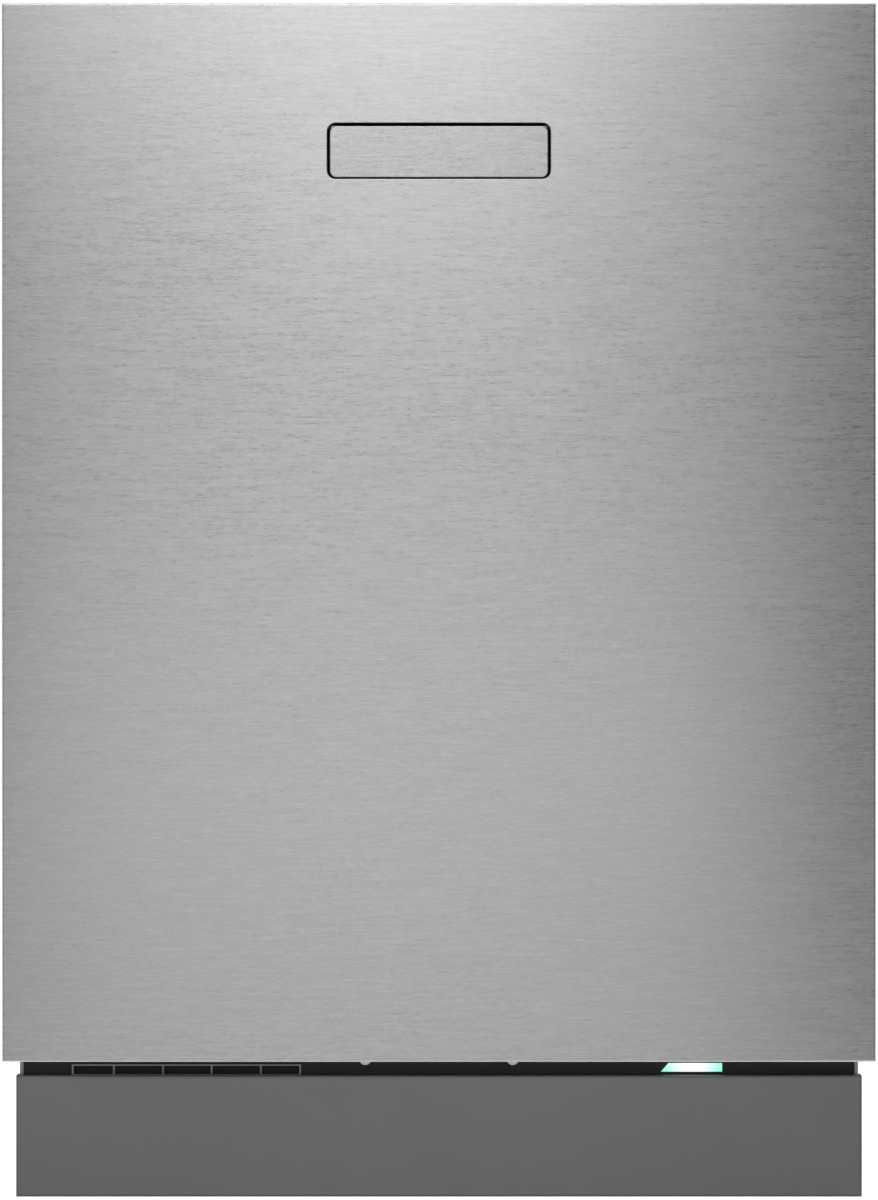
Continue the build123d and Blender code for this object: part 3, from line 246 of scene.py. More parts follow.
def zinc_steel(name, colour):
    """Galvanised sheet with its spangle and a dull bloom."""
    zinc = Material(name, colour, metallic=0.95, roughness=0.42)
    spangle = zinc.node("ShaderNodeTexVoronoi", feature="F1")
    spangle.inputs["Scale"].default_value = 1.0
    zinc.link(zinc.place((120, 120, 120)), spangle.inputs["Vector"])
    zinc.vary_colour(zinc.spread(spangle.outputs["Color"], 0.0, 1.0, 0.0, 1.0), 0.84, 1.08)
    bloom = zinc.noise((40, 40, 40), detail=4.0)
    zinc.rough(zinc.spread(bloom, 0.34, 0.55))
    zinc.bump(bloom, 4e-5, 0.2)
    return zinc.material


def machined_steel(name, colour, roughness):
    """Turned or drawn steel with fine tool marks and slightly worn, brighter highs."""
    steel = Material(name, colour, metallic=1.0, roughness=roughness)
    marks = steel.noise((900, 900, 900), detail=2.0)
    stain = steel.noise((90, 90, 90), detail=3.0)
    steel.vary_colour(stain, 0.82, 1.08)
    steel.rough(steel.spread(marks, roughness - 0.07, roughness + 0.09))
    steel.bump(marks, 2e-5, 0.3)
    return steel.material


def painted_sheet(name, colour, roughness):
    """Powder-coated steel: fine orange peel and a slight mottle."""
    paint = Material(name, colour, roughness=roughness)
    peel = paint.noise((850, 850, 850), detail=2.0)
    mottle = paint.noise((24, 24, 24), detail=3.0)
    paint.vary_colour(mottle, 0.95, 1.05)
    paint.rough(paint.spread(peel, roughness - 0.05, roughness + 0.06))
    paint.bump(peel, 3.5e-5, 0.35)
    paint.shader.inputs["Coat Weight"].default_value = 0.12
    paint.shader.inputs["Coat Roughness"].default_value = 0.3
    return paint.material


def moulded_plastic(name, colour, roughness, grain=1.0):
    """Injection-moulded plastic: spark-eroded grain, flow clouds and handling sheen."""
    plastic = Material(name, colour, roughness=roughness)
    erosion = plastic.noise((1500, 1500, 1500), detail=2.0)
    flow = plastic.noise((18, 18, 30), detail=3.0, distortion=0.8)
    plastic.vary_colour(flow, 0.93, 1.07)
    plastic.rough(plastic.add(plastic.spread(erosion, roughness - 0.06, roughness + 0.06),
                              plastic.spread(flow, -0.03, 0.03)))
    plastic.bump(erosion, 3e-5 * grain, 0.4)
    return plastic.material


def nylon_coat(name, colour):
    """Thick nylon dip on rack wire: soft gloss with slight runs."""
    nylon = Material(name, colour, roughness=0.32)
    runs = nylon.noise((60, 60, 25), detail=3.0)
    fine = nylon.noise((700, 700, 700), detail=1.0)
    nylon.vary_colour(runs, 0.9, 1.08)
    nylon.rough(nylon.spread(fine, 0.26, 0.42))
    nylon.bump(runs, 8e-5, 0.3)
    nylon.shader.inputs["Coat Weight"].default_value = 0.25
    nylon.shader.inputs["Coat Roughness"].default_value = 0.18
    return nylon.material


def water_tank_plastic(name, colour):
    """Milky translucent polypropylene."""
    tank = Material(name, colour, roughness=0.38)
    cloud = tank.noise((14, 14, 22), detail=3.0, distortion=0.5)
    tank.vary_colour(cloud, 0.88, 1.06)
    tank.rough(tank.spread(cloud, 0.3, 0.45))
    tank.bump(tank.noise((300, 300, 300), detail=2.0), 4e-5, 0.25)
    tank.shader.inputs["Subsurface Weight"].default_value = 0.25
    tank.shader.inputs["Subsurface Radius"].default_value = (0.006, 0.006, 0.006)
    return tank.material


def felt(name, colour):
    """Pressed sound-damping felt: matted fibres with pale flecks."""
    cloth = Material(name, colour, roughness=0.95)
    fibres = cloth.noise((520, 520, 520), detail=5.0, roughness=0.7, distortion=1.4)
    lumps = cloth.noise((45, 45, 45), detail=3.0)
    flecks = cloth.add(cloth.spread(fibres, 0.0, 0.7), cloth.spread(lumps, 0.0, 0.3))
    cloth.vary_colour(flecks, 0.55, 2.1)
    cloth.bump(fibres, 6e-4, 0.6)
    cloth.bump(lumps, 1.5e-3, 0.35)
    cloth.shader.inputs["Sheen Weight"].default_value = 0.25
    return cloth.material


def seal_rubber(name, colour):
    """Extruded rubber with lines along the profile and a dusty bloom."""
    rubber = Material(name, colour, roughness=0.7)
    bloom = rubber.noise((35, 35, 35), detail=4.0)
    rubber.vary_colour(bloom, 0.75, 1.4)
    rubber.rough(rubber.spread(bloom, 0.6, 0.82))
    rubber.bump(rubber.noise((700, 700, 700), detail=2.0), 5e-5, 0.35)
    return rubber.material


def perforated_steel(name, colour):
    """Filter mesh: fine etched holes drawn as dots of painted shade, the dark seen through them, with
    raised rims.
    """
    mesh = Material(name, colour, metallic=1.0, roughness=0.36)
    dots = mesh.node("ShaderNodeTexVoronoi", feature="F1")
    dots.inputs["Scale"].default_value = 1.0
    dots.inputs["Randomness"].default_value = 0.0
    mesh.link(mesh.place((420, 420, 420)), dots.inputs["Vector"])
    hole_shade_mask = mesh.spread(dots.outputs["Distance"], 0.0, 1.0, 0.24, 0.34)
    # painted shade: near-black dots stand in for the dark seen through the etched holes
    mesh.vary_colour(hole_shade_mask, 0.06, 1.0)
    mesh.rough(mesh.spread(mesh.noise((200, 200, 200)), 0.28, 0.44))
    mesh.bump(hole_shade_mask, 2e-4, 0.5)
    return mesh.material


def circuit_board(name, colour):
    """Solder mask with faint copper tracks under it."""
    board = Material(name, colour, roughness=0.35)
    tracks = board.node("ShaderNodeTexBrick")
    tracks.inputs["Scale"].default_value = 1.0
    tracks.inputs["Mortar Size"].default_value = 0.04
    tracks.inputs["Color1"].default_value = (*colour, 1)
    tracks.inputs["Color2"].default_value = (*[c * 0.8 for c in colour], 1)
    tracks.inputs["Mortar"].default_value = (*[min(1.0, c * 1.9 + 0.02) for c in colour], 1)
    board.link(board.place((160, 260, 260)), tracks.inputs["Vector"])
    board.link(tracks.outputs["Color"], board.shader.inputs["Base Color"])
    board.bump(tracks.outputs["Fac"], 4e-5, 0.5)
    return board.material


def smoked_window(name, colour):
    """Dark display window with a faint polish haze."""
    window = Material(name, colour, roughness=0.08)
    haze = window.noise((60, 60, 60), detail=3.0)
    window.rough(window.spread(haze, 0.05, 0.14))
    window.vary_colour(haze, 0.8, 1.3)
    window.shader.inputs["Coat Weight"].default_value = 0.6
    window.shader.inputs["Coat Roughness"].default_value = 0.05
    return window.material


# The light is white over the first share of its half width and turquoise from the second
WHITE_SHARE = 0.2
FADE_SHARE = 0.9
GLOW = 1.15


def glowing_lens(name, colour, middle_x, half_width):
    """Status light: white over the diode and fading to turquoise at the ends of the lens."""
    lens = Material(name, colour, roughness=0.25)
    away = lens.node("ShaderNodeMath", operation="ABSOLUTE")
    centred = lens.node("ShaderNodeMath", operation="SUBTRACT")
    centred.inputs[1].default_value = middle_x
    lens.link(lens.axis("X"), centred.inputs[0])
    lens.link(centred.outputs["Value"], away.inputs[0])
    ramp = lens.node("ShaderNodeValToRGB")
    ramp.color_ramp.elements[0].color = (0.93, 1.0, 0.98, 1)
    ramp.color_ramp.elements[1].color = (0.22, 0.75, 0.55, 1)
    white, faded = WHITE_SHARE * half_width, FADE_SHARE * half_width
    lens.link(lens.spread(away.outputs["Value"], 0.0, 1.0, white, faded), ramp.inputs["Fac"])
    lens.link(ramp.outputs["Color"], lens.shader.inputs["Emission Color"])
    lens.shader.inputs["Emission Strength"].default_value = GLOW
    return lens.material


light_low, light_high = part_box("status_light")
flap_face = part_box("handle_flap")[0].y
# How far behind its face the flap's steel keeps its colour; behind that its sides carry painted shade,
# the shadow in the gap around the handle flap
FLAP_RIM = 1.4 * MM

MATERIALS = {
    "door_steel": brushed_steel("door_steel_brushed", (0.63, 0.63, 0.635)),
    # The flap's steel carries painted shade on its sides, in the gap of the handle cut-out
    "flap_steel": brushed_steel("flap_steel_brushed_painted_shade", (0.58, 0.58, 0.585), roughness=0.28,
                                painted_shade_behind=flap_face + FLAP_RIM),
    "tub_steel": tub_steel("tub_steel_bright", (0.66, 0.665, 0.67)),
    "zinc_steel": zinc_steel("zinc_steel_sheet", (0.52, 0.53, 0.54)),
    "screw_steel": machined_steel("screw_steel_plated", (0.78, 0.78, 0.78), 0.22),
    "spring_steel": machined_steel("spring_steel_oiled", (0.22, 0.22, 0.23), 0.34),
    "kick_paint": painted_sheet("kick_paint_satin", (0.2, 0.2, 0.203), 0.45),
    "base_paint": painted_sheet("base_paint_black", (0.012, 0.012, 0.013), 0.5),
    "base_plastic": moulded_plastic("base_plastic_black", (0.03, 0.03, 0.032), 0.55),
    "black_plastic": moulded_plastic("black_plastic_satin", (0.018, 0.018, 0.019), 0.5),
    "grille_plastic": moulded_plastic("grille_plastic_grey", (0.5, 0.5, 0.51), 0.5),
    "panel_plastic": moulded_plastic("panel_plastic_black", (0.022, 0.022, 0.024), 0.32),
    "button_plastic": moulded_plastic("button_plastic_silver", (0.42, 0.42, 0.43), 0.3),
    "window": smoked_window("window_smoked", (0.012, 0.012, 0.014)),
    "board": circuit_board("board_green", (0.02, 0.14, 0.06)),
    "light_lens": glowing_lens("light_lens_glow", (0.5, 0.9, 0.8), (light_low.x + light_high.x) / 2,
                               (light_high.x - light_low.x) / 2),
    "rack_wire": nylon_coat("rack_wire_grey", (0.27, 0.285, 0.30)),
    "tine_wire": nylon_coat("tine_wire_blue", (0.10, 0.20, 0.27)),
    "grey_plastic": moulded_plastic("grey_plastic_satin", (0.22, 0.23, 0.24), 0.42),
    "pale_plastic": moulded_plastic("pale_plastic_satin", (0.52, 0.53, 0.54), 0.42),
    "tank_plastic": water_tank_plastic("tank_plastic_milky", (0.70, 0.73, 0.72)),
    "cap_plastic": moulded_plastic("cap_plastic_blue", (0.05, 0.17, 0.36), 0.35),
    "filter_steel": perforated_steel("filter_steel_mesh", (0.60, 0.61, 0.62)),
    "seal_rubber": seal_rubber("seal_rubber_black", (0.035, 0.035, 0.037)),
    "felt": felt("felt_dark", (0.075, 0.075, 0.078)),
    "white_plastic": moulded_plastic("white_plastic_gloss", (0.75, 0.75, 0.74), 0.3),
}


def dress_cad_nodes():
    """Gives every CAD node the finished material of its slot in the record."""
    for entry in frame["record"]["subparts"]:
        for slot in frame["nodes"][entry["node"]].material_slots:
            slot.material = MATERIALS[entry["material_slot"]]


dress_cad_nodes()

# ------------------------------------------------------------------ round-wire racks

# Radii of the wires and of their bends
BEND = 12 * MM
WIRE = 1.8 * MM
RIM_WIRE = 2.6 * MM
ROD = 2.1 * MM

# How many wires cross a rack each way, how far the first lies from the rack's end, and how far one
# layer of wires lies above the other
CROSS_WIRES = 14
LONG_WIRES = 16
INSET = 16 * MM
STEP = 3.4 * MM
LOOP_SHARES = (0.45, 0.72)

# Half the width of both racks, between wire centres, and the heights of their floors
RACK_HALF = 240 * MM
LOWER_FLOOR = 192 * MM
UPPER_FLOOR = 486 * MM
RIM_INSET = 2.5 * MM

# The fixed row of tines in the lower rack, and the rows of the folding parts
FIXED_TINES_Y = -56 * MM
FIXED_TINES_TOP = 262 * MM
FOLDING_TINES = 18
FOLDING_TINE_FIRST = -204 * MM
FOLDING_TINE_PITCH = 24 * MM
ROD_LIFT = 2.2 * MM
TIP_GAP = 1 * MM
SHELF_HINGE_X = 231 * MM
SHELF_FREE_X = 139 * MM
SHELF_INSET = 21 * MM
SHELF_WIRES = 11

# Pull handles, from the middle of the rack's front rim wire
GRIP_Y = (-5 * MM, 4.4 * MM)
GRIP_Z = (-17 * MM, 5 * MM)
RIB_Y = (-6.2 * MM, -4 * MM)
RIB_FIRST = -13.5 * MM
GRIP_WIDTH = 150 * MM
GRIP_RIBS = 3
RIB_INSET = 9 * MM
RIB_HEIGHT = 2 * MM
RIB_PITCH = 5 * MM

# Other fittings of the racks. X is the distance from the middle, and HALF is half a size
BRACKET_X = (238 * MM, 243.6 * MM)
BRACKET_HALF = (12 * MM, 9 * MM)
BRACKET_TOP = 215 * MM
AXLE_X = (243 * MM, 257.4 * MM)
AXLE_RADIUS = 3.9 * MM
TINE_CLIP_X = (213.5 * MM, 222.5 * MM)
TINE_CLIP_Y = (63 * MM, 77 * MM)
TINE_CLIP_Z = (190 * MM, 205 * MM)
RUNNER_X = (260 * MM, 263.4 * MM)
RUNNER_BACK = 190 * MM
RUNNER_HALF = 8 * MM
ARM_X = (238.5 * MM, 260.5 * MM)
ARM_STARTS = (-165 * MM, -45 * MM, 75 * MM, 165 * MM)
ARM_LENGTH = 9 * MM
ARM_HALF = 5 * MM
SHELF_CLIP_X = (226 * MM, 241.5 * MM)
SHELF_CLIP_STARTS = (-160 * MM, 152 * MM)
SHELF_CLIP_LENGTH = 8 * MM
SHELF_CLIP_Z = (569 * MM, 581 * MM)

ARC_STEPS = 6
TURN_Z_TO_X = Matrix(((0, 0, 1), (0, 1, 0), (-1, 0, 0)))


def rounded(corners, radius):
    """Points along straight runs that meet at right angles, with an arc of the radius at each corner."""
    points = [Vector(corners[0])]
    for before, corner, after in zip(corners, corners[1:], corners[2:]):
        corner = Vector(corner)
        entry = (Vector(before) - corner).normalized() * radius
        leave = (Vector(after) - corner).normalized() * radius
        for i in range(ARC_STEPS + 1):
            turn = math.radians(90 * i / ARC_STEPS)
            points.append(corner + entry * (1 - math.sin(turn)) + leave * (1 - math.cos(turn)))
    points.append(Vector(corners[-1]))
    return points


def wire_curve(name, runs):
    """A curve object of round wires: runs is a list of (points, radius, closed)."""
    curve = bpy.data.curves.new(name, "CURVE")
    curve.dimensions = "3D"
    curve.bevel_depth = 1.0
    curve.bevel_resolution = 3
    curve.use_fill_caps = True
    for points, radius, closed in runs:
        spline = curve.splines.new("POLY")
        spline.points.add(len(points) - 1)
        for point, place in zip(spline.points, points):
            point.co = (*place, 1)
            point.radius = radius
        spline.use_cyclic_u = closed
        spline.use_smooth = True
    piece = bpy.data.objects.new(name, curve)
    bpy.context.collection.objects.link(piece)
    return piece


def wire_piece(node, runs, slot):
    """Round wires in place of a CAD node, riding on that node's body."""
    piece = wire_curve(node + "_wires", runs)
    piece.data.materials.append(MATERIALS[slot])
    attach(piece, node + "_body")
    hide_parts(node)


def loop_points(half_x, front, back, z):
    """A closed rounded rectangle around the rack at height z."""
    points = []
    for sign_x, sign_y, start in ((1, 1, 0), (-1, 1, 90), (-1, -1, 180), (1, -1, 270)):
        centre_x = sign_x * (half_x - BEND)
        centre_y = back - BEND if sign_y > 0 else front + BEND
        for i in range(ARC_STEPS + 1):
            angle = math.radians(start + 90 * i / ARC_STEPS)
            points.append((centre_x + BEND * math.cos(angle), centre_y + BEND * math.sin(angle), z))
    return points


def basket_runs(front, back, floor, rim):
    """Crosswise and lengthwise wires bent up at both ends, with a thick rim and two middle loops."""
    runs = []
    for i in range(CROSS_WIRES):
        y = front + INSET + i * (back - front - 2 * INSET) / (CROSS_WIRES - 1)
        corners = [(-RACK_HALF, y, rim), (-RACK_HALF, y, floor),
                   (RACK_HALF, y, floor), (RACK_HALF, y, rim)]
        runs.append((rounded(corners, BEND), WIRE, False))
    for i in range(LONG_WIRES):
        x = -RACK_HALF + INSET + i * 2 * (RACK_HALF - INSET) / (LONG_WIRES - 1)
        low = floor + STEP
        corners = [(x, front, rim), (x, front, low), (x, back, low), (x, back, rim)]
        runs.append((rounded(corners, BEND), WIRE, False))
    runs.append((loop_points(RACK_HALF, front, back, rim), RIM_WIRE, True))
    for share in LOOP_SHARES:
        height = floor + (rim - floor) * share
        loop = loop_points(RACK_HALF + STEP / 2, front - STEP / 2, back + STEP / 2, height)
        runs.append((loop, WIRE, True))
    return runs


def block_mesh(mesh, low, high, bevel):
    """Adds a box with rounded edges to a bmesh."""
    size = [high[i] - low[i] for i in range(3)]
    middle = [(high[i] + low[i]) / 2 for i in range(3)]
    made = bmesh.ops.create_cube(mesh, size=1.0)
    bmesh.ops.scale(mesh, vec=size, verts=made["verts"])
    bmesh.ops.translate(mesh, vec=middle, verts=made["verts"])
    edges = list({edge for vertex in made["verts"] for edge in vertex.link_edges})
    bmesh.ops.bevel(mesh, geom=edges, offset=bevel, segments=3, profile=0.6, affect="EDGES")


def plastic_piece(name, build, body):
    """A grey plastic moulding made by build(bmesh), riding on a body."""
    mesh = bmesh.new()
    build(mesh)
    data = bpy.data.meshes.new(name)
    mesh.to_mesh(data)
    mesh.free()
    for polygon in data.polygons:
        polygon.use_smooth = True
    data.materials.append(MATERIALS["grey_plastic"])
    piece = bpy.data.objects.new(name, data)
    bpy.context.collection.objects.link(piece)
    piece.modifiers.new("shade", "WEIGHTED_NORMAL").keep_sharp = True
    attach(piece, body)


def mirrored(side, reach):
    """Low and high X of a fitting that lies between two distances from the middle, on one side."""
    return sorted((side * reach[0], side * reach[1]))


def rack_ends(node):
    """Front, back and rim height of a rack's wire centres, from its CAD box."""
    low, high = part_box(node)
    return low.y + RIM_INSET, high.y - RIM_INSET, high.z - RIM_INSET


def grip(rack, y, z):
    """Moulded pull handle clipped on the middle of a rack's front rim, with finger ribs."""
    half = GRIP_WIDTH / 2
    rib_half = half - RIB_INSET

    def build(mesh):
        block_mesh(mesh, (-half, y + GRIP_Y[0], z + GRIP_Z[0]), (half, y + GRIP_Y[1], z + GRIP_Z[1]),
                   bevel=2.2 * MM)
        for rib in range(GRIP_RIBS):
            low = z + RIB_FIRST + rib * RIB_PITCH
            block_mesh(mesh, (-rib_half, y + RIB_Y[0], low), (rib_half, y + RIB_Y[1], low + RIB_HEIGHT),
                       bevel=0.8 * MM)
    plastic_piece(rack + "_grip", build, rack + "_body")


def wheel_bracket(mesh, side, wheel):
    """A plate on the rack's side wires and the axle that carries one wheel."""
    low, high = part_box(wheel)
    middle = (low + high) / 2
    plate = mirrored(side, BRACKET_X)
    block_mesh(mesh, (plate[0], middle.y - BRACKET_HALF[0], middle.z - BRACKET_HALF[1]),
               (plate[1], middle.y + BRACKET_HALF[0], BRACKET_TOP), bevel=1.5 * MM)
    reach = mirrored(side, AXLE_X)
    axle = bmesh.ops.create_cone(mesh, cap_ends=True, segments=24, radius1=AXLE_RADIUS,
                                 radius2=AXLE_RADIUS, depth=reach[1] - reach[0])
    bmesh.ops.rotate(mesh, verts=axle["verts"], matrix=TURN_Z_TO_X)
    bmesh.ops.translate(mesh, verts=axle["verts"], vec=((reach[0] + reach[1]) / 2, middle.y, middle.z))


def lower_rack():
    """Lower rack: basket, a fixed row of tines, wheel brackets and axles."""
    front, back, rim = rack_ends("lower_rack")
    runs = basket_runs(front, back, LOWER_FLOOR, rim)
    foot = LOWER_FLOOR + STEP
    pitch = 2 * (RACK_HALF - INSET) / (LONG_WIRES - 1)
    for i in range(LONG_WIRES - 1):
        x = -RACK_HALF + INSET + (i + 0.5) * pitch
        tine = [(x, FIXED_TINES_Y, foot), (x, FIXED_TINES_Y, FIXED_TINES_TOP)]
        runs.append((rounded(tine, BEND), WIRE, False))
    runs.append(([(-RACK_HALF, FIXED_TINES_Y, foot), (RACK_HALF, FIXED_TINES_Y, foot)], WIRE, False))
    wire_piece("lower_rack", runs, "rack_wire")

    def fittings(mesh):
        for side, word in ((-1, "left"), (1, "right")):
            wheel_bracket(mesh, side, f"front_{word}_wheel")
            wheel_bracket(mesh, side, f"rear_{word}_wheel")
            clip = mirrored(side, TINE_CLIP_X)
            block_mesh(mesh, (clip[0], TINE_CLIP_Y[0], TINE_CLIP_Z[0]),
                       (clip[1], TINE_CLIP_Y[1], TINE_CLIP_Z[1]), bevel=1.5 * MM)
    plastic_piece("lower_rack_brackets", fittings, "lower_rack_body")
    grip("lower_rack", front, rim)


def upper_rack():
    """Upper rack: basket, side runners for the rails, and clips that hold the cup shelves."""
    front, back, rim = rack_ends("upper_rack")
    wire_piece("upper_rack", basket_runs(front, back, UPPER_FLOOR, rim), "rack_wire")
    rail_low, rail_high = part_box("upper_rack_rails")
    rail_z = (rail_low.z + rail_high.z) / 2

    def fittings(mesh):
        for side in (-1, 1):
            runner = mirrored(side, RUNNER_X)
            block_mesh(mesh, (runner[0], front, rail_z - RUNNER_HALF),
                       (runner[1], RUNNER_BACK, rail_z + RUNNER_HALF), bevel=0.8 * MM)
            arm = mirrored(side, ARM_X)
            for y in ARM_STARTS:
                block_mesh(mesh, (arm[0], y, rail_z - ARM_HALF),
                           (arm[1], y + ARM_LENGTH, rail_z + ARM_HALF), bevel=1 * MM)
            clip = mirrored(side, SHELF_CLIP_X)
            for y in SHELF_CLIP_STARTS:
                block_mesh(mesh, (clip[0], y, SHELF_CLIP_Z[0]),
                           (clip[1], y + SHELF_CLIP_LENGTH, SHELF_CLIP_Z[1]), bevel=2 * MM)
    plastic_piece("upper_rack_fittings", fittings, "upper_rack_body")
    grip("upper_rack", front, rim)


def folding_tines():
    """A hinge rod with a row of tines."""
    low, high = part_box("plate_tines")
    y = (low.y + high.y) / 2
    root = low.z + ROD_LIFT
    tip = high.z - TIP_GAP
    runs = [([(low.x, y, root), (high.x, y, root)], ROD, False)]
    for i in range(FOLDING_TINES):
        x = FOLDING_TINE_FIRST + i * FOLDING_TINE_PITCH
        runs.append(([(x, y, root), (x, y, tip)], WIRE, False))
    wire_piece("plate_tines", runs, "tine_wire")


def cup_shelf(side, node):
    """A fold-down shelf of wire that rests level beside the cups."""
    low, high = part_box(node)
    z = (low.z + high.z) / 2
    hinge_x = side * SHELF_HINGE_X
    free_x = side * SHELF_FREE_X
    middle_x = (hinge_x + free_x) / 2
    front, back = low.y + SHELF_INSET, high.y - SHELF_INSET
    runs = [([(hinge_x, low.y, z), (hinge_x, high.y, z)], ROD, False),
            ([(free_x, front, z), (free_x, back, z)], ROD, False),
            ([(middle_x, front, z), (middle_x, back, z)], WIRE, False)]
    for i in range(SHELF_WIRES):
        y = front + i * (back - front) / (SHELF_WIRES - 1)
        runs.append(([(hinge_x, y, z), (free_x, y, z)], WIRE, False))
    wire_piece(node, runs, "tine_wire")


# Balance springs: radii of the wire, the coil and the eyes, and the sides' distances from the middle
SPRING_WIRE = 1 * MM
COIL_WIRE = 0.85 * MM
COIL_RADIUS = 3.3 * MM
COIL_PITCH = 4.6 * MM
COIL_CORNERS = 16
EYE_RADIUS = 4.3 * MM
EYE_CORNERS = 24
FRONT_EYE_X = 295 * MM
REAR_EYE_X = 293.4 * MM

# Where the front rod ends as a share of the spring, where the coil ends before the rear eye, and the
# distances from the front eye between which the spring passes from the door to the cabinet
ROD_SHARE = 0.38
REAR_ROD = 18 * MM
ROD_STEP = 2 * MM
ROD_STEPS = 15


def spring_runs(front_eye, rear_eye):
    """The wires of one spring: two eyes, the front rod, the rear rod and the coil."""
    along = (rear_eye - front_eye).normalized()
    across = along.cross(Vector((1, 0, 0))).normalized()
    upward = along.cross(across)
    rod_end = front_eye + along * ROD_SHARE * (rear_eye - front_eye).length
    coil_end = rear_eye - along * REAR_ROD
    runs = []
    for eye in (front_eye, rear_eye):
        angles = [math.tau * i / EYE_CORNERS for i in range(EYE_CORNERS)]
        ring = [eye + EYE_RADIUS * Vector((0, math.cos(angle), math.sin(angle))) for angle in angles]
        runs.append((ring, SPRING_WIRE, True))
    steps = round((coil_end - rod_end).length / COIL_PITCH * COIL_CORNERS)
    coil = []
    for i in range(steps + 1):
        angle = math.tau * i / COIL_CORNERS
        outward = COIL_RADIUS * (across * math.cos(angle) + upward * math.sin(angle))
        coil.append(rod_end.lerp(coil_end, i / steps) + outward)
    rod = [front_eye + along * EYE_RADIUS + along * i * ROD_STEP for i in range(ROD_STEPS)]
    runs.append((rod + [rod_end], SPRING_WIRE, False))
    runs.append(([coil_end, rear_eye - along * EYE_RADIUS], SPRING_WIRE, False))
    runs.append((coil, COIL_WIRE, False))
    return runs


def balance_spring(side, name):
    """A door balance spring: an eye and a rod at each end, and a coil between them.

    Its rear eye sits on the tray, and its front eye at the hinge arm.
    """
    low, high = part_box("hinge_springs")
    edge = EYE_RADIUS + SPRING_WIRE
    front_eye = Vector((side * FRONT_EYE_X, low.y + edge, high.z - edge))
    rear_eye = Vector((side * REAR_EYE_X, high.y - edge, low.z + edge))
    drawn = wire_curve(name + "_drawn", spring_runs(front_eye, rear_eye))
    data = bpy.data.meshes.new_from_object(drawn)
    bpy.data.objects.remove(drawn)
    data.materials.clear()
    data.materials.append(MATERIALS["spring_steel"])
    piece = bpy.data.objects.new(name, data)
    bpy.context.collection.objects.link(piece)
    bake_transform(piece)
    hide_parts("hinge_springs")


lower_rack()
upper_rack()
balance_spring(-1, "balance_spring_left")
balance_spring(1, "balance_spring_right")
folding_tines()
cup_shelf(-1, "cup_shelf_left")
cup_shelf(1, "cup_shelf_right")

# ------------------------------------------------------------------ stage, camera and light

FLOOR_HALF = 9.0
FLOOR_GAP = 0.2 * MM
# Along Y, the floor starts to glow at the first value and is white from the second
FLOOR_WHITENS = (-0.45, -0.25)

# The photo is taken straight on, from four metres, at about half the door's height
CAMERA_DISTANCE = 4.0
CAMERA_HEIGHT = 0.413
CAMERA_LENS = 176
CAMERA_SENSOR = 36

STUDIO_GREY = 0.07

# Name, place, target, width, height and watts of each lamp, and how it treats the kickplate: the
# high lamps are kept off it, and one low lamp lights nothing else
LAMPS = (
    ("left_strip", (-0.32, -1.9, 1.4), (-0.16, -0.28, 0.6), 0.3, 1.0, 1.25, "EXCLUDE"),
    ("middle_strip", (-0.04, -1.9, 1.4), (-0.02, -0.28, 0.6), 0.3, 1.0, 1.75, "EXCLUDE"),
    ("right_strip", (0.22, -1.9, 1.4), (0.11, -0.28, 0.6), 0.3, 1.0, 1.0, "EXCLUDE"),
    ("header", (-0.2, -1.9, 2.3), (-0.1, -0.28, 0.6), 1.2, 0.4, 7.5, "EXCLUDE"),
    ("kick_panel", (0, -1.9, 0.16), (0, -0.22, 0.05), 0.9, 0.24, 5.4, "INCLUDE"),
    ("edge_strip", (0.95, -1.9, 1.5), (0.5, -0.28, 0.6), 0.3, 0.9, 0.9, None),
    ("low_panel", (-0.06, -1.9, 0.26), (-0.03, -0.28, 0.3), 0.8, 0.48, 0.98, None),
    ("left_window", (-2.2, -1.2, 1.2), (0, -0.1, 0.4), 0.8, 1.8, 10, None),
    ("right_fill", (2.4, 0.6, 1.3), (0, 0, 0.4), 0.8, 1.8, 9, None),
    ("top_fill", (0, 0.3, 2.6), (0, 0, 0.4), 2.0, 1.0, 17, None),
)


def link_kickplate(light, state):
    """Keeps a lamp or a glowing surface off the kickplate, or on it alone, as a card would."""
    linked = bpy.data.collections.new(light.name + "_flag")
    linked.objects.link(frame["nodes"]["kickplate"])
    linked.collection_objects[0].light_linking.link_state = state
    light.light_linking.receiver_collection = linked


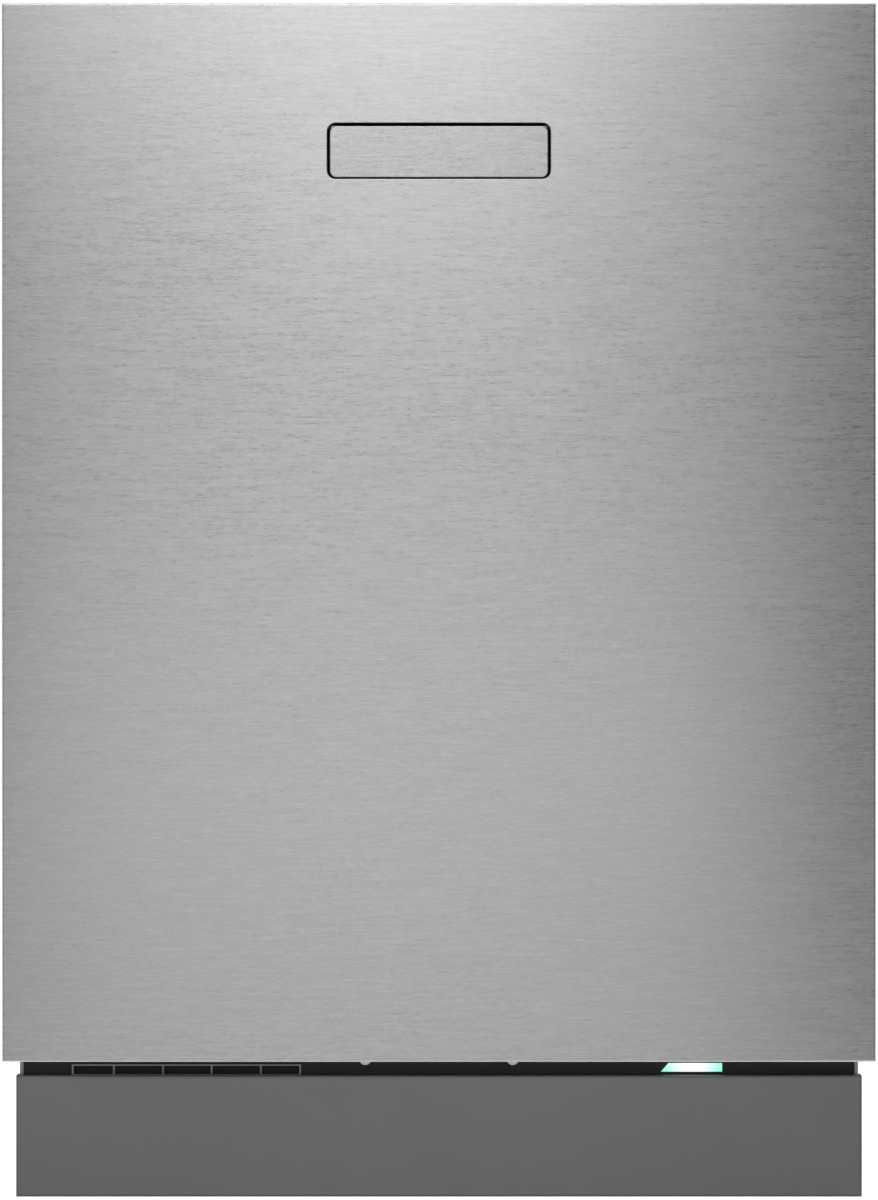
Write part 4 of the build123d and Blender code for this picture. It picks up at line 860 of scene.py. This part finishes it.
def floor():
    """A wide pale floor that whitens beside and behind the machine, like a lit studio sweep."""
    data = bpy.data.meshes.new("floor")
    corners = [(-FLOOR_HALF, -FLOOR_HALF, 0), (FLOOR_HALF, -FLOOR_HALF, 0),
               (FLOOR_HALF, FLOOR_HALF, 0), (-FLOOR_HALF, FLOOR_HALF, 0)]
    data.from_pydata(corners, [], [(0, 1, 2, 3)])
    piece = bpy.data.objects.new("floor", data)
    piece.location.z = cad_box[0][2] - FLOOR_GAP
    bpy.context.collection.objects.link(piece)
    pale = Material("floor_pale", (0.7, 0.7, 0.7), roughness=0.6)
    pale.vary_colour(pale.noise((6, 6, 6)), 0.985, 1.015)
    pale.shader.inputs["Emission Color"].default_value = (1, 1, 1, 1)
    glow = pale.spread(pale.axis("Y"), 0.0, 1.0, *FLOOR_WHITENS)
    pale.link(glow, pale.shader.inputs["Emission Strength"])
    data.materials.append(pale.material)
    link_kickplate(piece, "EXCLUDE")


def camera():
    """Straight-on view of the door."""
    data = bpy.data.cameras.new("camera")
    data.lens = CAMERA_LENS
    data.sensor_width = CAMERA_SENSOR
    piece = bpy.data.objects.new("camera", data)
    piece.location = (0, cad_box[0][1] - CAMERA_DISTANCE, CAMERA_HEIGHT)
    piece.rotation_euler = (math.pi / 2, 0, 0)
    bpy.context.collection.objects.link(piece)
    bpy.context.scene.camera = piece


def world():
    """Dark grey studio for reflections, white behind the object."""
    scene_world = bpy.data.worlds.new("studio")
    scene_world.use_nodes = True
    tree = scene_world.node_tree
    background = tree.nodes["Background"]
    background.inputs["Color"].default_value = (STUDIO_GREY, STUDIO_GREY, STUDIO_GREY, 1)
    seen = tree.nodes.new("ShaderNodeBackground")
    seen.inputs["Color"].default_value = (1, 1, 1, 1)
    path = tree.nodes.new("ShaderNodeLightPath")
    mix = tree.nodes.new("ShaderNodeMixShader")
    tree.links.new(path.outputs["Is Camera Ray"], mix.inputs["Fac"])
    tree.links.new(background.outputs["Background"], mix.inputs[1])
    tree.links.new(seen.outputs["Background"], mix.inputs[2])
    tree.links.new(mix.outputs["Shader"], tree.nodes["World Output"].inputs["Surface"])
    bpy.context.scene.world = scene_world
    bpy.context.scene.view_settings.view_transform = "Standard"


def softbox(name, place, target, width, height, watts, kickplate):
    """A rectangular light at place, facing target, that the camera can look through."""
    lamp = bpy.data.lights.new(name, "AREA")
    lamp.shape = "RECTANGLE"
    lamp.size = width
    lamp.size_y = height
    lamp.energy = watts
    piece = bpy.data.objects.new(name, lamp)
    piece.location = place
    piece.rotation_euler = (Vector(target) - Vector(place)).to_track_quat("-Z", "Y").to_euler()
    piece.visible_camera = False
    bpy.context.collection.objects.link(piece)
    if kickplate:
        link_kickplate(piece, kickplate)


floor()
camera()
world()
for row in LAMPS:
    softbox(*row)
